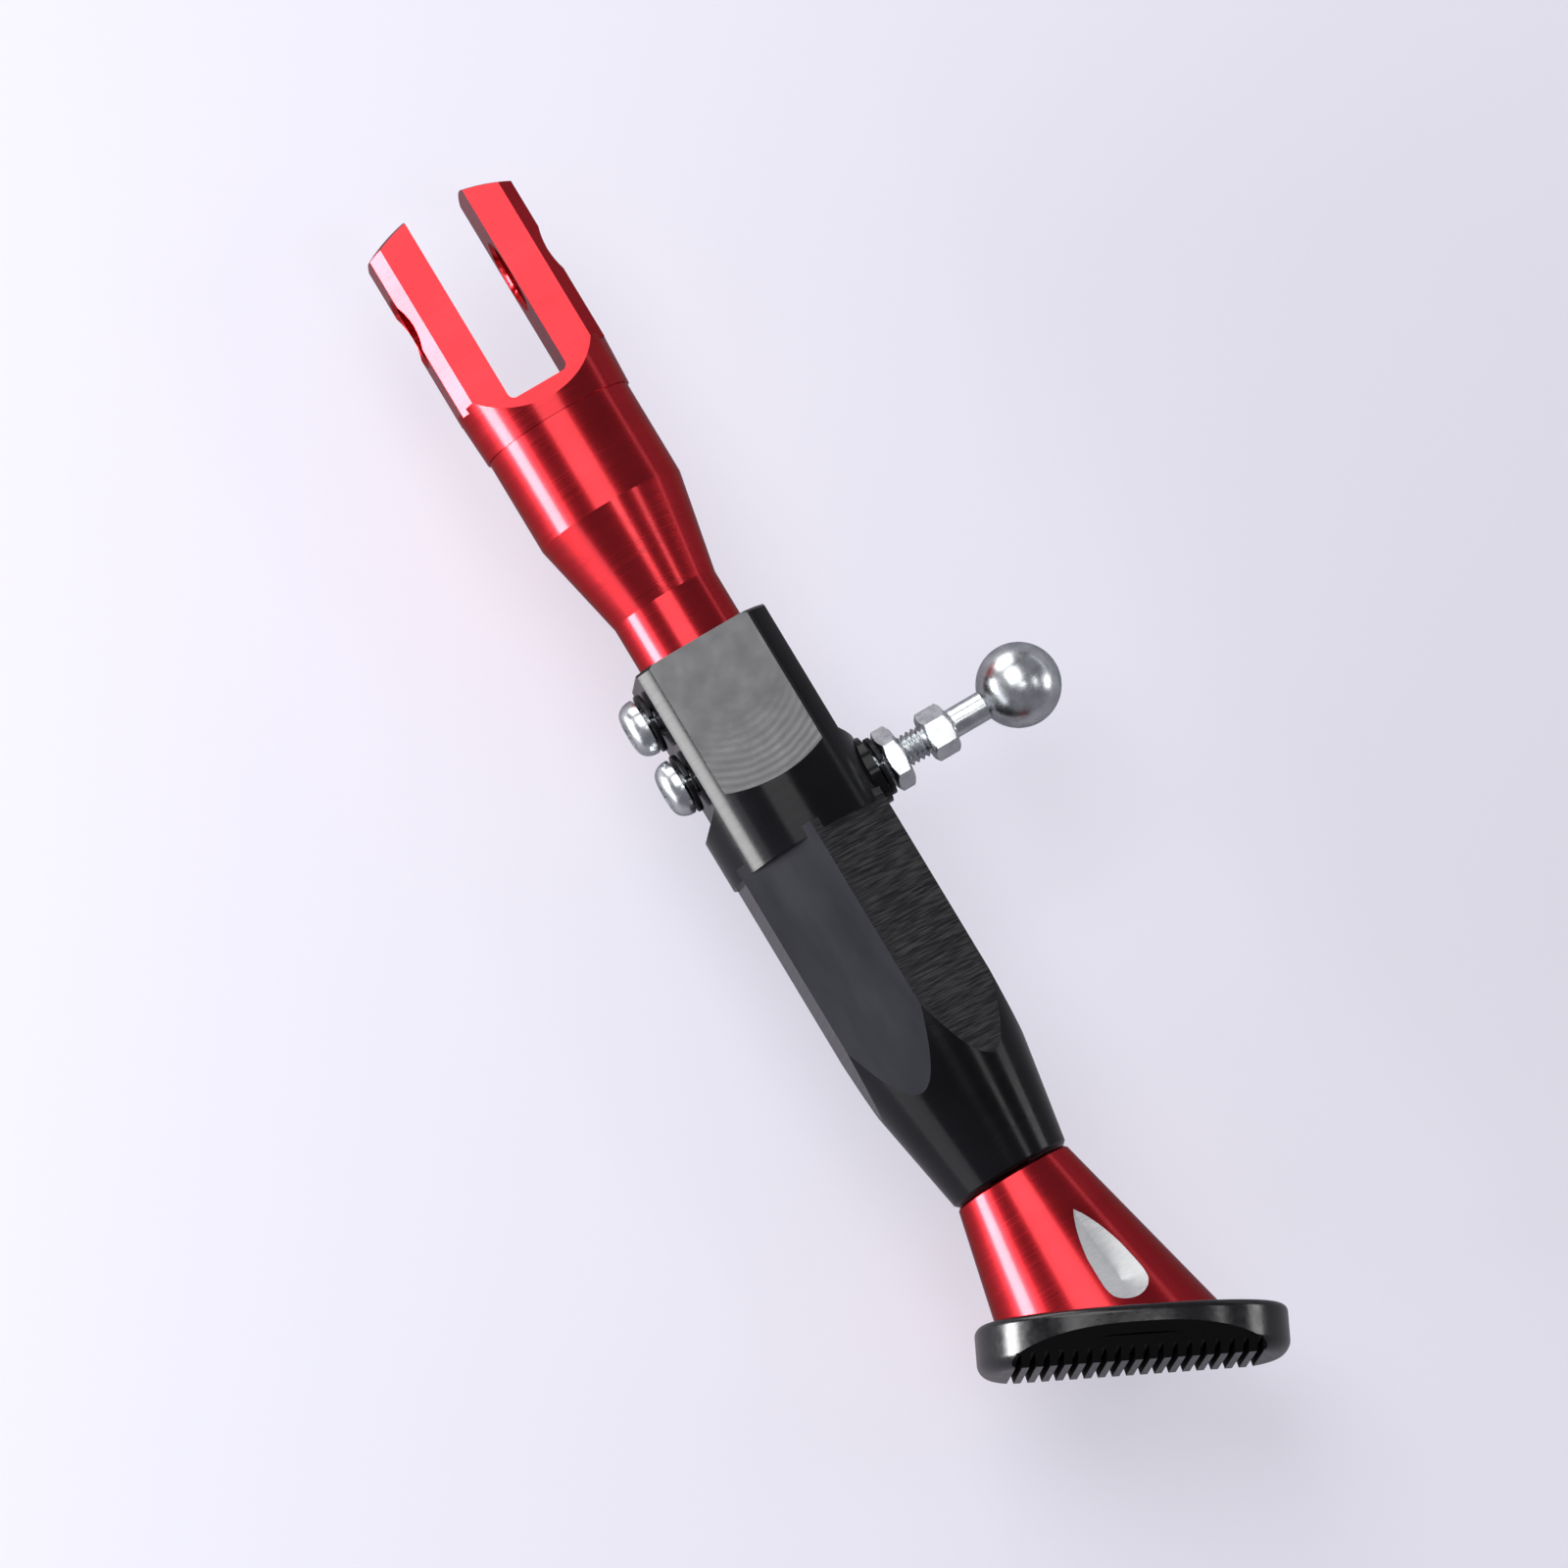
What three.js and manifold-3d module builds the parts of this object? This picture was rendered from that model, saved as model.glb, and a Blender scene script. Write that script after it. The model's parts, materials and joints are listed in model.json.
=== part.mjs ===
// Adjustable kickstand (side stand) for a motorcycle or scooter.
// A forked upper bar telescopes in a black leg, two screws clamp it, a ball stud gives the
// rider something to kick, and a slanted foot stands on a ribbed rubber pad.
//
// Millimetres. The leg is modelled upright: its axis is local Z, zero is the pivot axis of the
// fork, and everything else hangs below, at minus its distance down the leg. The exported group
// then leans the leg so that the sole is level. +X is the side of the ball stud, -Y the front.

import * as THREE from "three";
import { mergeVertices } from "three/addons/utils/BufferGeometryUtils.js";
import Module from "manifold-3d";

const wasm = await Module();
wasm.setup();

// ---------------------------------------------------------------- driving dimensions

const LEAN = THREE.MathUtils.degToRad(26.5); // angle between the leg and the vertical
const GAP = 0.3; // clearance between pieces that touch
const THREAD_GAP = 0.3; // clearance round a thread drawn as a plain cylinder
const EDGE = 0.5; // broken edge on a turned end
const SCREW_POINT = 0.8; // chamfer at the tip of a screw
const OVERRUN = 1; // how far a cutter runs past the face that it opens

// distances down the leg from the pivot axis
const SLOT_BOTTOM = 19.7;
const EAR_BOTTOM = 16.9;
const RUNOUT_END = 23.3; // lowest point of the flats on the front and back of the ears
const HEAD_BOTTOM = 26.4;
const TAPER_TOP = 44;
const NECK_TOP = 62;
const SLEEVE_TOP = 71.7;
const UPPER_SCREW = 78.9;
const LOWER_SCREW = 90.9;
const STUD_LEVEL = 105.2;
const COLLAR_BOTTOM = 110.9;
const SHANK_END = 126;
const BORE_END = 136;
const LEG_BOTTOM = 177;
const SOLE_TOP = 205.7; // where the leg axis meets the top face of the pad

// fork
const EAR_WIDTH = 28.1;
const EAR_DEPTH = 15.3;
const EAR_CHAMFER = 2.3;
const EAR_TIP_R = 18; // rounding of the ear tips about the pivot axis
const TIP_DOME_R = 30; // turned dome over both ears
const TIP_DOME_DROP = 0.5; // top of the dome, below the rounding of the ear tips
const SLOT_WIDTH = 11.4;
const SLOT_CORNER_R = 1.2;
const PIVOT_R = 6.1;
const PIVOT_CHAMFER = 0.7;
const HEAD_R = 14.5;
const HEAD_FLARE = 3.5; // length over which the head narrows to the body
const RIM_STEP = 0.15; // last step of that narrowing
const RUNOUT_R = 14; // cutter radius at the lower end of those flats
const BODY_R = 13.7;
const NECK_R = 9.95;
const SHANK_FLAT = 7.6; // distance of the clamping flat from the axis
const SHANK_FLAT_TOP = 75;
const SHANK_FLAT_END = 119.8;

// leg
const SLEEVE_R = 15.5;
const BORE_R = NECK_R + GAP;
const BORE_POINT = 5; // depth of the drilled cone at the end of the bore
const FRONT_FLAT = 12.1;
const FRONT_FLAT_END = 99.5;
const FRONT_RUNOUT_R = 21.6;
const SCREW_FLAT = 12;
const SCREW_FLAT_END = 98;
const STUD_FLAT = 13.4;
const STUD_FLAT_END = 96.6;
const BOSS_R = 6.3;
const BOSS_FACE = 16;
const HEX_ACROSS_FLATS = 28.3;
const LEG_END_R = 10.9;
const LEG_TAPER = 0.172; // radius lost per millimetre of length
const FOOT_THREAD_DEPTH = 27;
const THREAD_POINT = 3; // depth of the drilled cone at the end of the thread

// M6 fasteners of the clamp and the ball stud, M8 bolt of the foot
const M6_R = 2.85;
const M8_R = 3.85;
const HEAD_RADIUS_M6 = 5.1;
const HEAD_HEIGHT_M6 = 3.3;
const HEX_KEY_M6 = 4;
const HEX_KEY_M8 = 6;
const BUTTON_TOP_R = 2.9; // flat top of a button head
const BUTTON_RIM = 0.5; // straight rim under the dome of a button head
const BUTTON_SOCKET_DEPTH = 2;
const WASHER_M6 = { inner: 3.2, outer: 5.4, thick: 1.4, slit: 0.9 };
const WASHER_M8 = { inner: 4.15, outer: 6.4, thick: 2, slit: 1.2 };
const NUT_ACROSS_FLATS = 10;
const NUT_THICK = 3.3;
const NUT_TURN = THREE.MathUtils.degToRad(8);
const STUD_HEX_ACROSS_FLATS = 8;
const STUD_END = 10.9;
const STUD_HEX_START = 26.1;
const STUD_HEX_END = 30.9;
const STUD_NECK_R = 2.6;
const BALL_X = 44.7;
const BALL_R = 7.4;
const BOLT_HEAD_R = 6.5;
const BOLT_HEAD_HEIGHT = 8;
const BOLT_SOCKET_DEPTH = 4;
const BOLT_SEAT = 193;
const BOLT_LENGTH = 38;

// foot and pad
const FOOT_TOP_R = 10.8;
const FOOT_TAPER = 0.235; // radius gained per millimetre of length
const TEAR_AZIMUTH = THREE.MathUtils.degToRad(21); // from the front, towards the ball stud
const TEAR_TOP = 188;
const TEAR_BOTTOM = 207;
const TEAR_R = 4.4;
const TEAR_DEPTH = 0.8;
const TEAR_WAIST = 0.62; // pull of the tear's sides towards its point
const TEAR_LENGTH = 6; // length of the cutter out of the cone
const PAD_LENGTH = 53.4;
const PAD_WIDTH = 43;
const PAD_HEIGHT = 8.6;
const PAD_OFFSET = 5.6; // pad centre beyond the leg axis, along the pad
const PAD_SQUARENESS = 2.5; // exponent of the superellipse outline
// side wall of the pad: pulled in by, height above the floor
const PAD_WALL = [[2.4, 0], [0.9, 0.8], [0, 2.6], [0, 7.3], [0.4, 8.2], [1.3, PAD_HEIGHT]];
const PAD_LIP = 1.8;
const FLANGE_THICK = 2.8;
const FLANGE_MARGIN = 3;
const RIB_PITCH = 2.42;
const GROOVE_WIDTH = 1;
const GROOVE_DEPTH = 2.2;
const RIB_END_MARGIN = 8; // smooth length left at the ends of the sole, together
const BEVEL_RISE = 5.6; // height of the slanted front and back of the sole
const BEVEL_RUN = 9;

const ROUND = 48; // facets round the large turned parts
const SMALL = 24; // facets round the fasteners
const REACH = 60; // longer than anything it cuts
const MERGE_TOLERANCE = 1e-5;

// ---------------------------------------------------------------- solids

function solid(geometry) {
  const bare = geometry.clone();
  bare.deleteAttribute("normal");
  bare.deleteAttribute("uv");
  const merged = mergeVertices(bare, MERGE_TOLERANCE);
  const vertProperties = new Float32Array(merged.attributes.position.array);
  const triVerts = new Uint32Array(merged.index.array);
  return new wasm.Manifold(new wasm.Mesh({ numProp: 3, vertProperties, triVerts }));
}

function geometryOf(manifold) {
  const { vertProperties, triVerts } = manifold.getMesh();
  const geometry = new THREE.BufferGeometry();
  geometry.setAttribute("position", new THREE.BufferAttribute(vertProperties, 3));
  geometry.setIndex(new THREE.BufferAttribute(triVerts, 1));
  geometry.computeVertexNormals();
  return geometry;
}

// A turned solid about Z. Points are [radius, distance down], from the top to the bottom.
function turned(points, segments = ROUND) {
  const profile = points.map(([radius, down]) => new THREE.Vector2(radius, -down));
  profile.reverse();
  return solid(new THREE.LatheGeometry(profile, segments).rotateX(Math.PI / 2));
}

// A turned solid about X. Points are [radius, x], with x rising.
function turnedAboutX(points, segments = SMALL) {
  const profile = points.map(([radius, x]) => new THREE.Vector2(radius, x));
  const geometry = new THREE.LatheGeometry(profile, segments);
  return solid(geometry.rotateZ(-Math.PI / 2));
}

function block(width, depth, height, x, y, z) {
  return solid(new THREE.BoxGeometry(width, depth, height).translate(x, y, z));
}

function prism(shape, length, curveSegments = 16) {
  const options = { depth: length, bevelEnabled: false, curveSegments };
  return new THREE.ExtrudeGeometry(shape, options);
}

function regularShape(acrossFlats, sides, turn) {
  const radius = acrossFlats / 2 / Math.cos(Math.PI / sides);
  const points = [];
  for (let i = 0; i < sides; i += 1) {
    const angle = turn + (i / sides) * Math.PI * 2;
    points.push(new THREE.Vector2(radius * Math.cos(angle), radius * Math.sin(angle)));
  }
  return new THREE.Shape(points);
}

// A rod along X from x0 to x1 at the given distance down the leg.
function rodAlongX(radius, x0, x1, down, segments = SMALL) {
  const profile = [[0, x0], [radius, x0], [radius, x1], [0, x1]];
  return turnedAboutX(profile, segments).translate([0, 0, -down]);
}

// The space in front of a flat that a round cutter leaves: open at the top, with an arc at its
// lower end. The arc has its lowest point at `end`.
function runoutCut(radius, end, flat, side) {
  const shape = new THREE.Shape();
  const centre = -(end - radius);
  shape.moveTo(-radius, REACH);
  shape.lineTo(-radius, centre);
  shape.absarc(0, centre, radius, Math.PI, Math.PI * 2, false);
  shape.lineTo(radius, REACH);
  const geometry = prism(shape, REACH, 24).rotateX(Math.PI / 2);
  return solid(geometry.translate(0, side > 0 ? flat + REACH : -flat, 0));
}

// ---------------------------------------------------------------- fork

function earTips() {
  const dome = [];
  const steps = 10;
  const edgeR = HEAD_R + 3 * OVERRUN;
  const domeCentre = EAR_TIP_R - TIP_DOME_DROP - TIP_DOME_R;
  for (let i = 0; i <= steps; i += 1) {
    const radius = (i / steps) * edgeR;
    const height = domeCentre + Math.sqrt(TIP_DOME_R ** 2 - radius ** 2);
    dome.push([radius, -height]);
  }
  dome.push([edgeR, EAR_BOTTOM], [0, EAR_BOTTOM]);
  return turned(dome);
}

function earBlock() {
  const halfWidth = EAR_WIDTH / 2;
  const halfDepth = EAR_DEPTH / 2;
  const shape = new THREE.Shape();
  shape.moveTo(-halfWidth, -halfDepth + EAR_CHAMFER);
  shape.lineTo(-halfWidth + EAR_CHAMFER, -halfDepth);
  shape.lineTo(halfWidth - EAR_CHAMFER, -halfDepth);
  shape.lineTo(halfWidth, -halfDepth + EAR_CHAMFER);
  shape.lineTo(halfWidth, halfDepth - EAR_CHAMFER);
  shape.lineTo(halfWidth - EAR_CHAMFER, halfDepth);
  shape.lineTo(-halfWidth + EAR_CHAMFER, halfDepth);
  shape.lineTo(-halfWidth, halfDepth - EAR_CHAMFER);
  const length = EAR_TIP_R + HEAD_BOTTOM;
  return solid(prism(shape, length).translate(0, 0, -HEAD_BOTTOM));
}

function pivotRounding() {
  const disc = turnedAboutX(
    [[0, -REACH], [EAR_TIP_R, -REACH], [EAR_TIP_R, REACH], [0, REACH]],
    ROUND,
  );
  const below = block(2 * REACH, 2 * EAR_TIP_R, REACH, 0, 0, -REACH / 2);
  return disc.add(below);
}

function forkRoundBody() {
  return turned([
    [0, EAR_BOTTOM],
    [HEAD_R, EAR_BOTTOM],
    [HEAD_R, HEAD_BOTTOM - HEAD_FLARE],
    [BODY_R + RIM_STEP, HEAD_BOTTOM - RIM_STEP / 3],
    [BODY_R, HEAD_BOTTOM],
    [BODY_R, TAPER_TOP],
    [NECK_R, NECK_TOP],
    [NECK_R, SHANK_END - SCREW_POINT],
    [NECK_R - SCREW_POINT, SHANK_END],
    [0, SHANK_END],
  ]);
}

function slotCut() {
  const half = SLOT_WIDTH / 2;
  const r = SLOT_CORNER_R;
  const floor = -SLOT_BOTTOM;
  const shape = new THREE.Shape();
  shape.moveTo(-half, REACH);
  shape.lineTo(-half, floor + r);
  shape.absarc(-half + r, floor + r, r, Math.PI, Math.PI * 1.5, false);
  shape.lineTo(half - r, floor);
  shape.absarc(half - r, floor + r, r, Math.PI * 1.5, Math.PI * 2, false);
  shape.lineTo(half, REACH);
  return solid(prism(shape, REACH, 5).rotateX(Math.PI / 2).translate(0, REACH / 2, 0));
}

// The pivot hole, with a chamfer at each of its four mouths.
function pivotHole() {
  const outer = EAR_WIDTH / 2;
  const inner = SLOT_WIDTH / 2;
  const wide = PIVOT_R + PIVOT_CHAMFER;
  const c = PIVOT_CHAMFER;
  return turnedAboutX([
    [0, -outer - 1],
    [wide, -outer - 1],
    [wide, -outer],
    [PIVOT_R, -outer + c],
    [PIVOT_R, -inner - c],
    [wide, -inner],
    [wide, inner],
    [PIVOT_R, inner + c],
    [PIVOT_R, outer - c],
    [wide, outer],
    [wide, outer + 1],
    [0, outer + 1],
  ], 32);
}

function forkSolid() {
  const ears = earBlock().intersect(earTips()).intersect(pivotRounding());
  const front = runoutCut(RUNOUT_R, RUNOUT_END, EAR_DEPTH / 2, -1);
  const back = runoutCut(RUNOUT_R, RUNOUT_END, EAR_DEPTH / 2, 1);
  const flatLength = SHANK_FLAT_END - SHANK_FLAT_TOP;
  const flatMiddle = -(SHANK_FLAT_TOP + SHANK_FLAT_END) / 2;
  const flat = block(10, 30, flatLength, -SHANK_FLAT - 5, 0, flatMiddle);
  const round = forkRoundBody().subtract(front).subtract(back).subtract(flat);
  return round.add(ears).subtract(slotCut()).subtract(pivotHole());
}

// ---------------------------------------------------------------- leg

function sleeveAndCollar() {
  const body = turned([
    [0, SLEEVE_TOP],
    [SLEEVE_R - EDGE, SLEEVE_TOP],
    [SLEEVE_R, SLEEVE_TOP + EDGE],
    [SLEEVE_R, COLLAR_BOTTOM],
    [0, COLLAR_BOTTOM],
  ]);
  const boss = rodAlongX(BOSS_R, 0, BOSS_FACE, STUD_LEVEL, 32);
  return body.add(boss);
}

// The space beside a side flat, which ramps out at its lower end. `sign` is -1 or 1.
function sideFlatCut(flat, end, sign) {
  const ramp = SLEEVE_R - flat + 1;
  const shape = new THREE.Shape();
  shape.moveTo(flat, -SLEEVE_TOP + 1);
  shape.lineTo(flat + 10, -SLEEVE_TOP + 1);
  shape.lineTo(flat + 10, -end - ramp);
  shape.lineTo(flat + ramp, -end - ramp);
  shape.lineTo(flat, -end);
  const geometry = prism(shape, REACH).rotateX(Math.PI / 2).translate(0, REACH / 2, 0);
  if (sign < 0) geometry.rotateZ(Math.PI);
  return solid(geometry);
}

function hexAndTaper() {
  const hex = regularShape(HEX_ACROSS_FLATS, 6, Math.PI / 2);
  const length = LEG_BOTTOM - COLLAR_BOTTOM + 2;
  const bar = solid(prism(hex, length).translate(0, 0, -LEG_BOTTOM));
  const topR = LEG_END_R + LEG_TAPER * length;
  const cone = turned([
    [0, LEG_BOTTOM - length],
    [topR, LEG_BOTTOM - length],
    [LEG_END_R + 0.1, LEG_BOTTOM - 0.5],
    [LEG_END_R - 0.4, LEG_BOTTOM],
    [0, LEG_BOTTOM],
  ]);
  return bar.intersect(cone);
}

function legSolid() {
  const bore = turned([
    [0, SLEEVE_TOP - OVERRUN],
    [BORE_R + EDGE, SLEEVE_TOP - OVERRUN],
    [BORE_R + EDGE, SLEEVE_TOP],
    [BORE_R, SLEEVE_TOP + EDGE],
    [BORE_R, BORE_END],
    [0, BORE_END + BORE_POINT],
  ]);
  const footThread = turned([
    [0, LEG_BOTTOM - FOOT_THREAD_DEPTH - THREAD_POINT],
    [M8_R + THREAD_GAP, LEG_BOTTOM - FOOT_THREAD_DEPTH],
    [M8_R + THREAD_GAP, LEG_BOTTOM + OVERRUN],
    [0, LEG_BOTTOM + OVERRUN],
  ], SMALL);
  const threadR = M6_R + THREAD_GAP;
  const sleeve = sleeveAndCollar()
    .subtract(runoutCut(FRONT_RUNOUT_R, FRONT_FLAT_END, FRONT_FLAT, -1))
    .subtract(runoutCut(FRONT_RUNOUT_R, FRONT_FLAT_END, FRONT_FLAT, 1))
    .subtract(sideFlatCut(SCREW_FLAT, SCREW_FLAT_END, -1))
    .subtract(sideFlatCut(STUD_FLAT, STUD_FLAT_END, 1));
  return sleeve
    .add(hexAndTaper())
    .subtract(bore)
    .subtract(footThread)
    .subtract(rodAlongX(threadR, -SLEEVE_R, 0, UPPER_SCREW))
    .subtract(rodAlongX(threadR, -SLEEVE_R, 0, LOWER_SCREW))
    .subtract(rodAlongX(threadR, 0, BOSS_FACE + 1, STUD_LEVEL));
}

// ---------------------------------------------------------------- fasteners

// A split spring washer about X, its inner face at x0.
function springWasher({ inner, outer, thick, slit }, x0, x1Sign) {
  const x1 = x0 + thick * x1Sign;
  const low = Math.min(x0, x1);
  const high = Math.max(x0, x1);
  const ring = turnedAboutX([[outer, low], [outer, high], [inner, high], [inner, low], [outer, low]]);
  const cut = block(thick + 2, outer + 2, slit, (low + high) / 2, -(outer + 2) / 2, 0);
  return ring.subtract(cut);
}

const WASHER_SEAT = SCREW_FLAT + GAP;
const HEAD_SEAT = WASHER_SEAT + WASHER_M6.thick + GAP;

function clampScrewSolid() {
  const dome = [];
  const steps = 5;
  for (let i = 0; i <= steps; i += 1) {
    const angle = (i / steps) * (Math.PI / 2);
    const radius = BUTTON_TOP_R + (HEAD_RADIUS_M6 - BUTTON_TOP_R) * Math.sin(angle);
    const height = BUTTON_RIM + (HEAD_HEIGHT_M6 - BUTTON_RIM) * Math.cos(angle);
    dome.push([radius, -HEAD_SEAT - height]);
  }
  const tip = SHANK_FLAT + GAP;
  const body = turnedAboutX([
    [0, -HEAD_SEAT - HEAD_HEIGHT_M6],
    ...dome,
    [HEAD_RADIUS_M6, -HEAD_SEAT],
    [M6_R, -HEAD_SEAT],
    [M6_R, -tip - SCREW_POINT],
    [M6_R - SCREW_POINT, -tip],
    [0, -tip],
  ]);
  const socketLength = BUTTON_SOCKET_DEPTH + OVERRUN;
  const socket = prism(regularShape(HEX_KEY_M6, 6, 0), socketLength).rotateY(Math.PI / 2);
  const socketMouth = HEAD_SEAT + HEAD_HEIGHT_M6 + OVERRUN;
  return body.subtract(solid(socket.translate(-socketMouth, 0, 0)));
}

function jamNutSolid() {
  const radius = NUT_ACROSS_FLATS / 2 / Math.cos(Math.PI / 6);
  const shape = regularShape(NUT_ACROSS_FLATS, 6, NUT_TURN);
  const bar = solid(prism(shape, NUT_THICK).rotateY(Math.PI / 2));
  const flatR = NUT_ACROSS_FLATS / 2 - 0.1;
  const rise = (radius - flatR) * Math.tan(Math.PI / 6);
  const rounding = turnedAboutX([
    [0, 0],
    [flatR, 0],
    [radius, rise],
    [radius, NUT_THICK - rise],
    [flatR, NUT_THICK],
    [0, NUT_THICK],
  ]);
  const bore = rodAlongX(M6_R + THREAD_GAP, -1, NUT_THICK + 1, 0);
  return bar.intersect(rounding).subtract(bore);
}

function ballStudSolid() {
  const neckMeetsBall = BALL_X - Math.sqrt(BALL_R ** 2 - STUD_NECK_R ** 2);
  const start = Math.asin(STUD_NECK_R / BALL_R);
  const steps = 11;
  const ball = [];
  for (let i = 0; i <= steps; i += 1) {
    const angle = start + (i / steps) * (Math.PI - start);
    ball.push([i === steps ? 0 : BALL_R * Math.sin(angle), BALL_X - BALL_R * Math.cos(angle)]);
  }
  const rod = turnedAboutX([
    [0, STUD_END],
    [M6_R - SCREW_POINT, STUD_END],
    [M6_R, STUD_END + SCREW_POINT],
    [M6_R, STUD_HEX_END],
    [STUD_NECK_R, STUD_HEX_END + EDGE],
    [STUD_NECK_R, neckMeetsBall - 0.01],
    ...ball,
  ]);
  const hexShape = regularShape(STUD_HEX_ACROSS_FLATS, 6, NUT_TURN);
  const hexLength = STUD_HEX_END - STUD_HEX_START;
  const hex = solid(prism(hexShape, hexLength).rotateY(Math.PI / 2).translate(STUD_HEX_START, 0, 0));
  const flatR = STUD_HEX_ACROSS_FLATS / 2;
  const cornerR = flatR / Math.cos(Math.PI / 6);
  const rounding = turnedAboutX([
    [0, STUD_HEX_START],
    [flatR, STUD_HEX_START],
    [cornerR, STUD_HEX_START + EDGE],
    [cornerR, STUD_HEX_END - EDGE],
    [flatR, STUD_HEX_END],
    [0, STUD_HEX_END],
  ]);
  return rod.add(hex.intersect(rounding));
}

function footBoltSolid() {
  const head = BOLT_SEAT + WASHER_M8.thick + 2 * GAP;
  const tip = head - BOLT_LENGTH;
  const body = turned([
    [0, tip],
    [M8_R - SCREW_POINT, tip],
    [M8_R, tip + SCREW_POINT],
    [M8_R, head],
    [BOLT_HEAD_R, head],
    [BOLT_HEAD_R, head + BOLT_HEAD_HEIGHT - EDGE],
    [BOLT_HEAD_R - EDGE, head + BOLT_HEAD_HEIGHT],
    [0, head + BOLT_HEAD_HEIGHT],
  ], SMALL);
  const socketShape = regularShape(HEX_KEY_M8, 6, 0);
  const socketMouth = head + BOLT_HEAD_HEIGHT + OVERRUN;
  const socket = prism(socketShape, BOLT_SOCKET_DEPTH + OVERRUN).translate(0, 0, -socketMouth);
  return body.subtract(solid(socket));
}

function footWasherSolid() {
  const washer = springWasher(WASHER_M8, 0, 1).rotate([0, 90, 0]);
  return washer.translate([0, 0, -BOLT_SEAT - GAP]);
}

// ---------------------------------------------------------------- foot and pad

// The pad's own frame: its top face is the plane z = 0, x runs along it, and the leg axis
// crosses its origin.
function placedOnPad(manifold) {
  const degrees = THREE.MathUtils.radToDeg(LEAN);
  return manifold.rotate([0, degrees, 0]).translate([0, 0, -SOLE_TOP]);
}

// The pad outline, pulled in by `inset`, as a ring of points at height z.
function padRing(inset, z) {
  const halfLength = PAD_LENGTH / 2 - inset;
  const halfWidth = PAD_WIDTH / 2 - inset;
  const power = 2 / PAD_SQUARENESS;
  const ring = [];
  for (let i = 0; i < ROUND; i += 1) {
    const angle = (i / ROUND) * Math.PI * 2;
    const c = Math.cos(angle);
    const s = Math.sin(angle);
    const x = PAD_OFFSET + halfLength * Math.sign(c) * Math.abs(c) ** power;
    ring.push([x, halfWidth * Math.sign(s) * Math.abs(s) ** power, z]);
  }
  return ring;
}

// A closed solid through rings of equal length, from the lowest to the highest.
function lofted(rings) {
  const count = rings[0].length;
  const positions = rings.flat(2);
  const index = [];
  for (let level = 0; level < rings.length - 1; level += 1) {
    for (let i = 0; i < count; i += 1) {
      const next = (i + 1) % count;
      const a = level * count + i;
      const b = level * count + next;
      index.push(a, b, b + count, a, b + count, a + count);
    }
  }
  const top = (rings.length - 1) * count;
  for (let i = 1; i < count - 1; i += 1) {
    index.push(0, i + 1, i);
    index.push(top, top + i, top + i + 1);
  }
  const geometry = new THREE.BufferGeometry();
  geometry.setAttribute("position", new THREE.Float32BufferAttribute(positions, 3));
  geometry.setIndex(index);
  return solid(geometry);
}

function footCone(grow) {
  const end = SOLE_TOP + 30;
  const top = LEG_BOTTOM + GAP;
  return turned([
    [0, top],
    [FOOT_TOP_R - EDGE + grow, top],
    [FOOT_TOP_R + grow, top + EDGE],
    [FOOT_TOP_R + FOOT_TAPER * (end - top) + grow, end],
    [0, end],
  ]);
}

function flangeSolid(grow) {
  const low = -PAD_LIP - FLANGE_THICK - grow;
  const high = -PAD_LIP + grow;
  return lofted([padRing(FLANGE_MARGIN - grow, low), padRing(FLANGE_MARGIN - grow, high)]);
}

function abovePadPlane(depth) {
  return placedOnPad(block(4 * REACH, 4 * REACH, 2 * REACH, 0, 0, REACH - depth));
}

// A tear-shaped pocket, cut square to the cone at the given azimuth from the front.
function tearPocket(mirror) {
  const middle = (TEAR_TOP + TEAR_BOTTOM) / 2;
  const low = TEAR_BOTTOM - TEAR_R - middle;
  const point = middle - TEAR_TOP;
  const shape = new THREE.Shape();
  shape.moveTo(0, point);
  shape.quadraticCurveTo(-TEAR_R * TEAR_WAIST, point / 2, -TEAR_R, -low);
  shape.absarc(0, -low, TEAR_R, Math.PI, Math.PI * 2, false);
  shape.quadraticCurveTo(TEAR_R * TEAR_WAIST, point / 2, 0, point);
  const slope = Math.atan(FOOT_TAPER);
  const surfaceR = FOOT_TOP_R + FOOT_TAPER * (middle - LEG_BOTTOM);
  const geometry = prism(shape, TEAR_LENGTH, 10)
    .translate(0, 0, -TEAR_DEPTH)
    .rotateX(Math.PI / 2 - slope)
    .translate(0, -surfaceR, -middle)
    .rotateZ(mirror ? Math.PI - TEAR_AZIMUTH : TEAR_AZIMUTH);
  return solid(geometry);
}

function footSolid() {
  const bolt = turned([
    [0, LEG_BOTTOM - 1],
    [M8_R + THREAD_GAP, LEG_BOTTOM - 1],
    [M8_R + THREAD_GAP, BOLT_SEAT],
    [BOLT_HEAD_R + 0.5, BOLT_SEAT],
    [BOLT_HEAD_R + 0.5, SOLE_TOP + 20],
    [0, SOLE_TOP + 20],
  ], SMALL);
  return footCone(0)
    .intersect(abovePadPlane(PAD_LIP + EDGE))
    .add(placedOnPad(flangeSolid(0)))
    .subtract(bolt)
    .subtract(tearPocket(false))
    .subtract(tearPocket(true));
}

// The wedge that slants the front or the back of the sole.
function soleBevel(sign) {
  const shape = new THREE.Shape();
  const edge = PAD_WIDTH / 2;
  const floor = -PAD_HEIGHT;
  shape.moveTo(edge - BEVEL_RUN, floor);
  shape.lineTo(edge - BEVEL_RUN, floor - 1);
  shape.lineTo(edge + 5, floor - 1);
  shape.lineTo(edge + 5, floor + (BEVEL_RISE * (BEVEL_RUN + 5)) / BEVEL_RUN);
  const geometry = prism(shape, 2 * REACH)
    .rotateX(Math.PI / 2)
    .translate(0, REACH, 0)
    .rotateZ(sign * Math.PI / 2);
  return solid(geometry);
}

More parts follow.
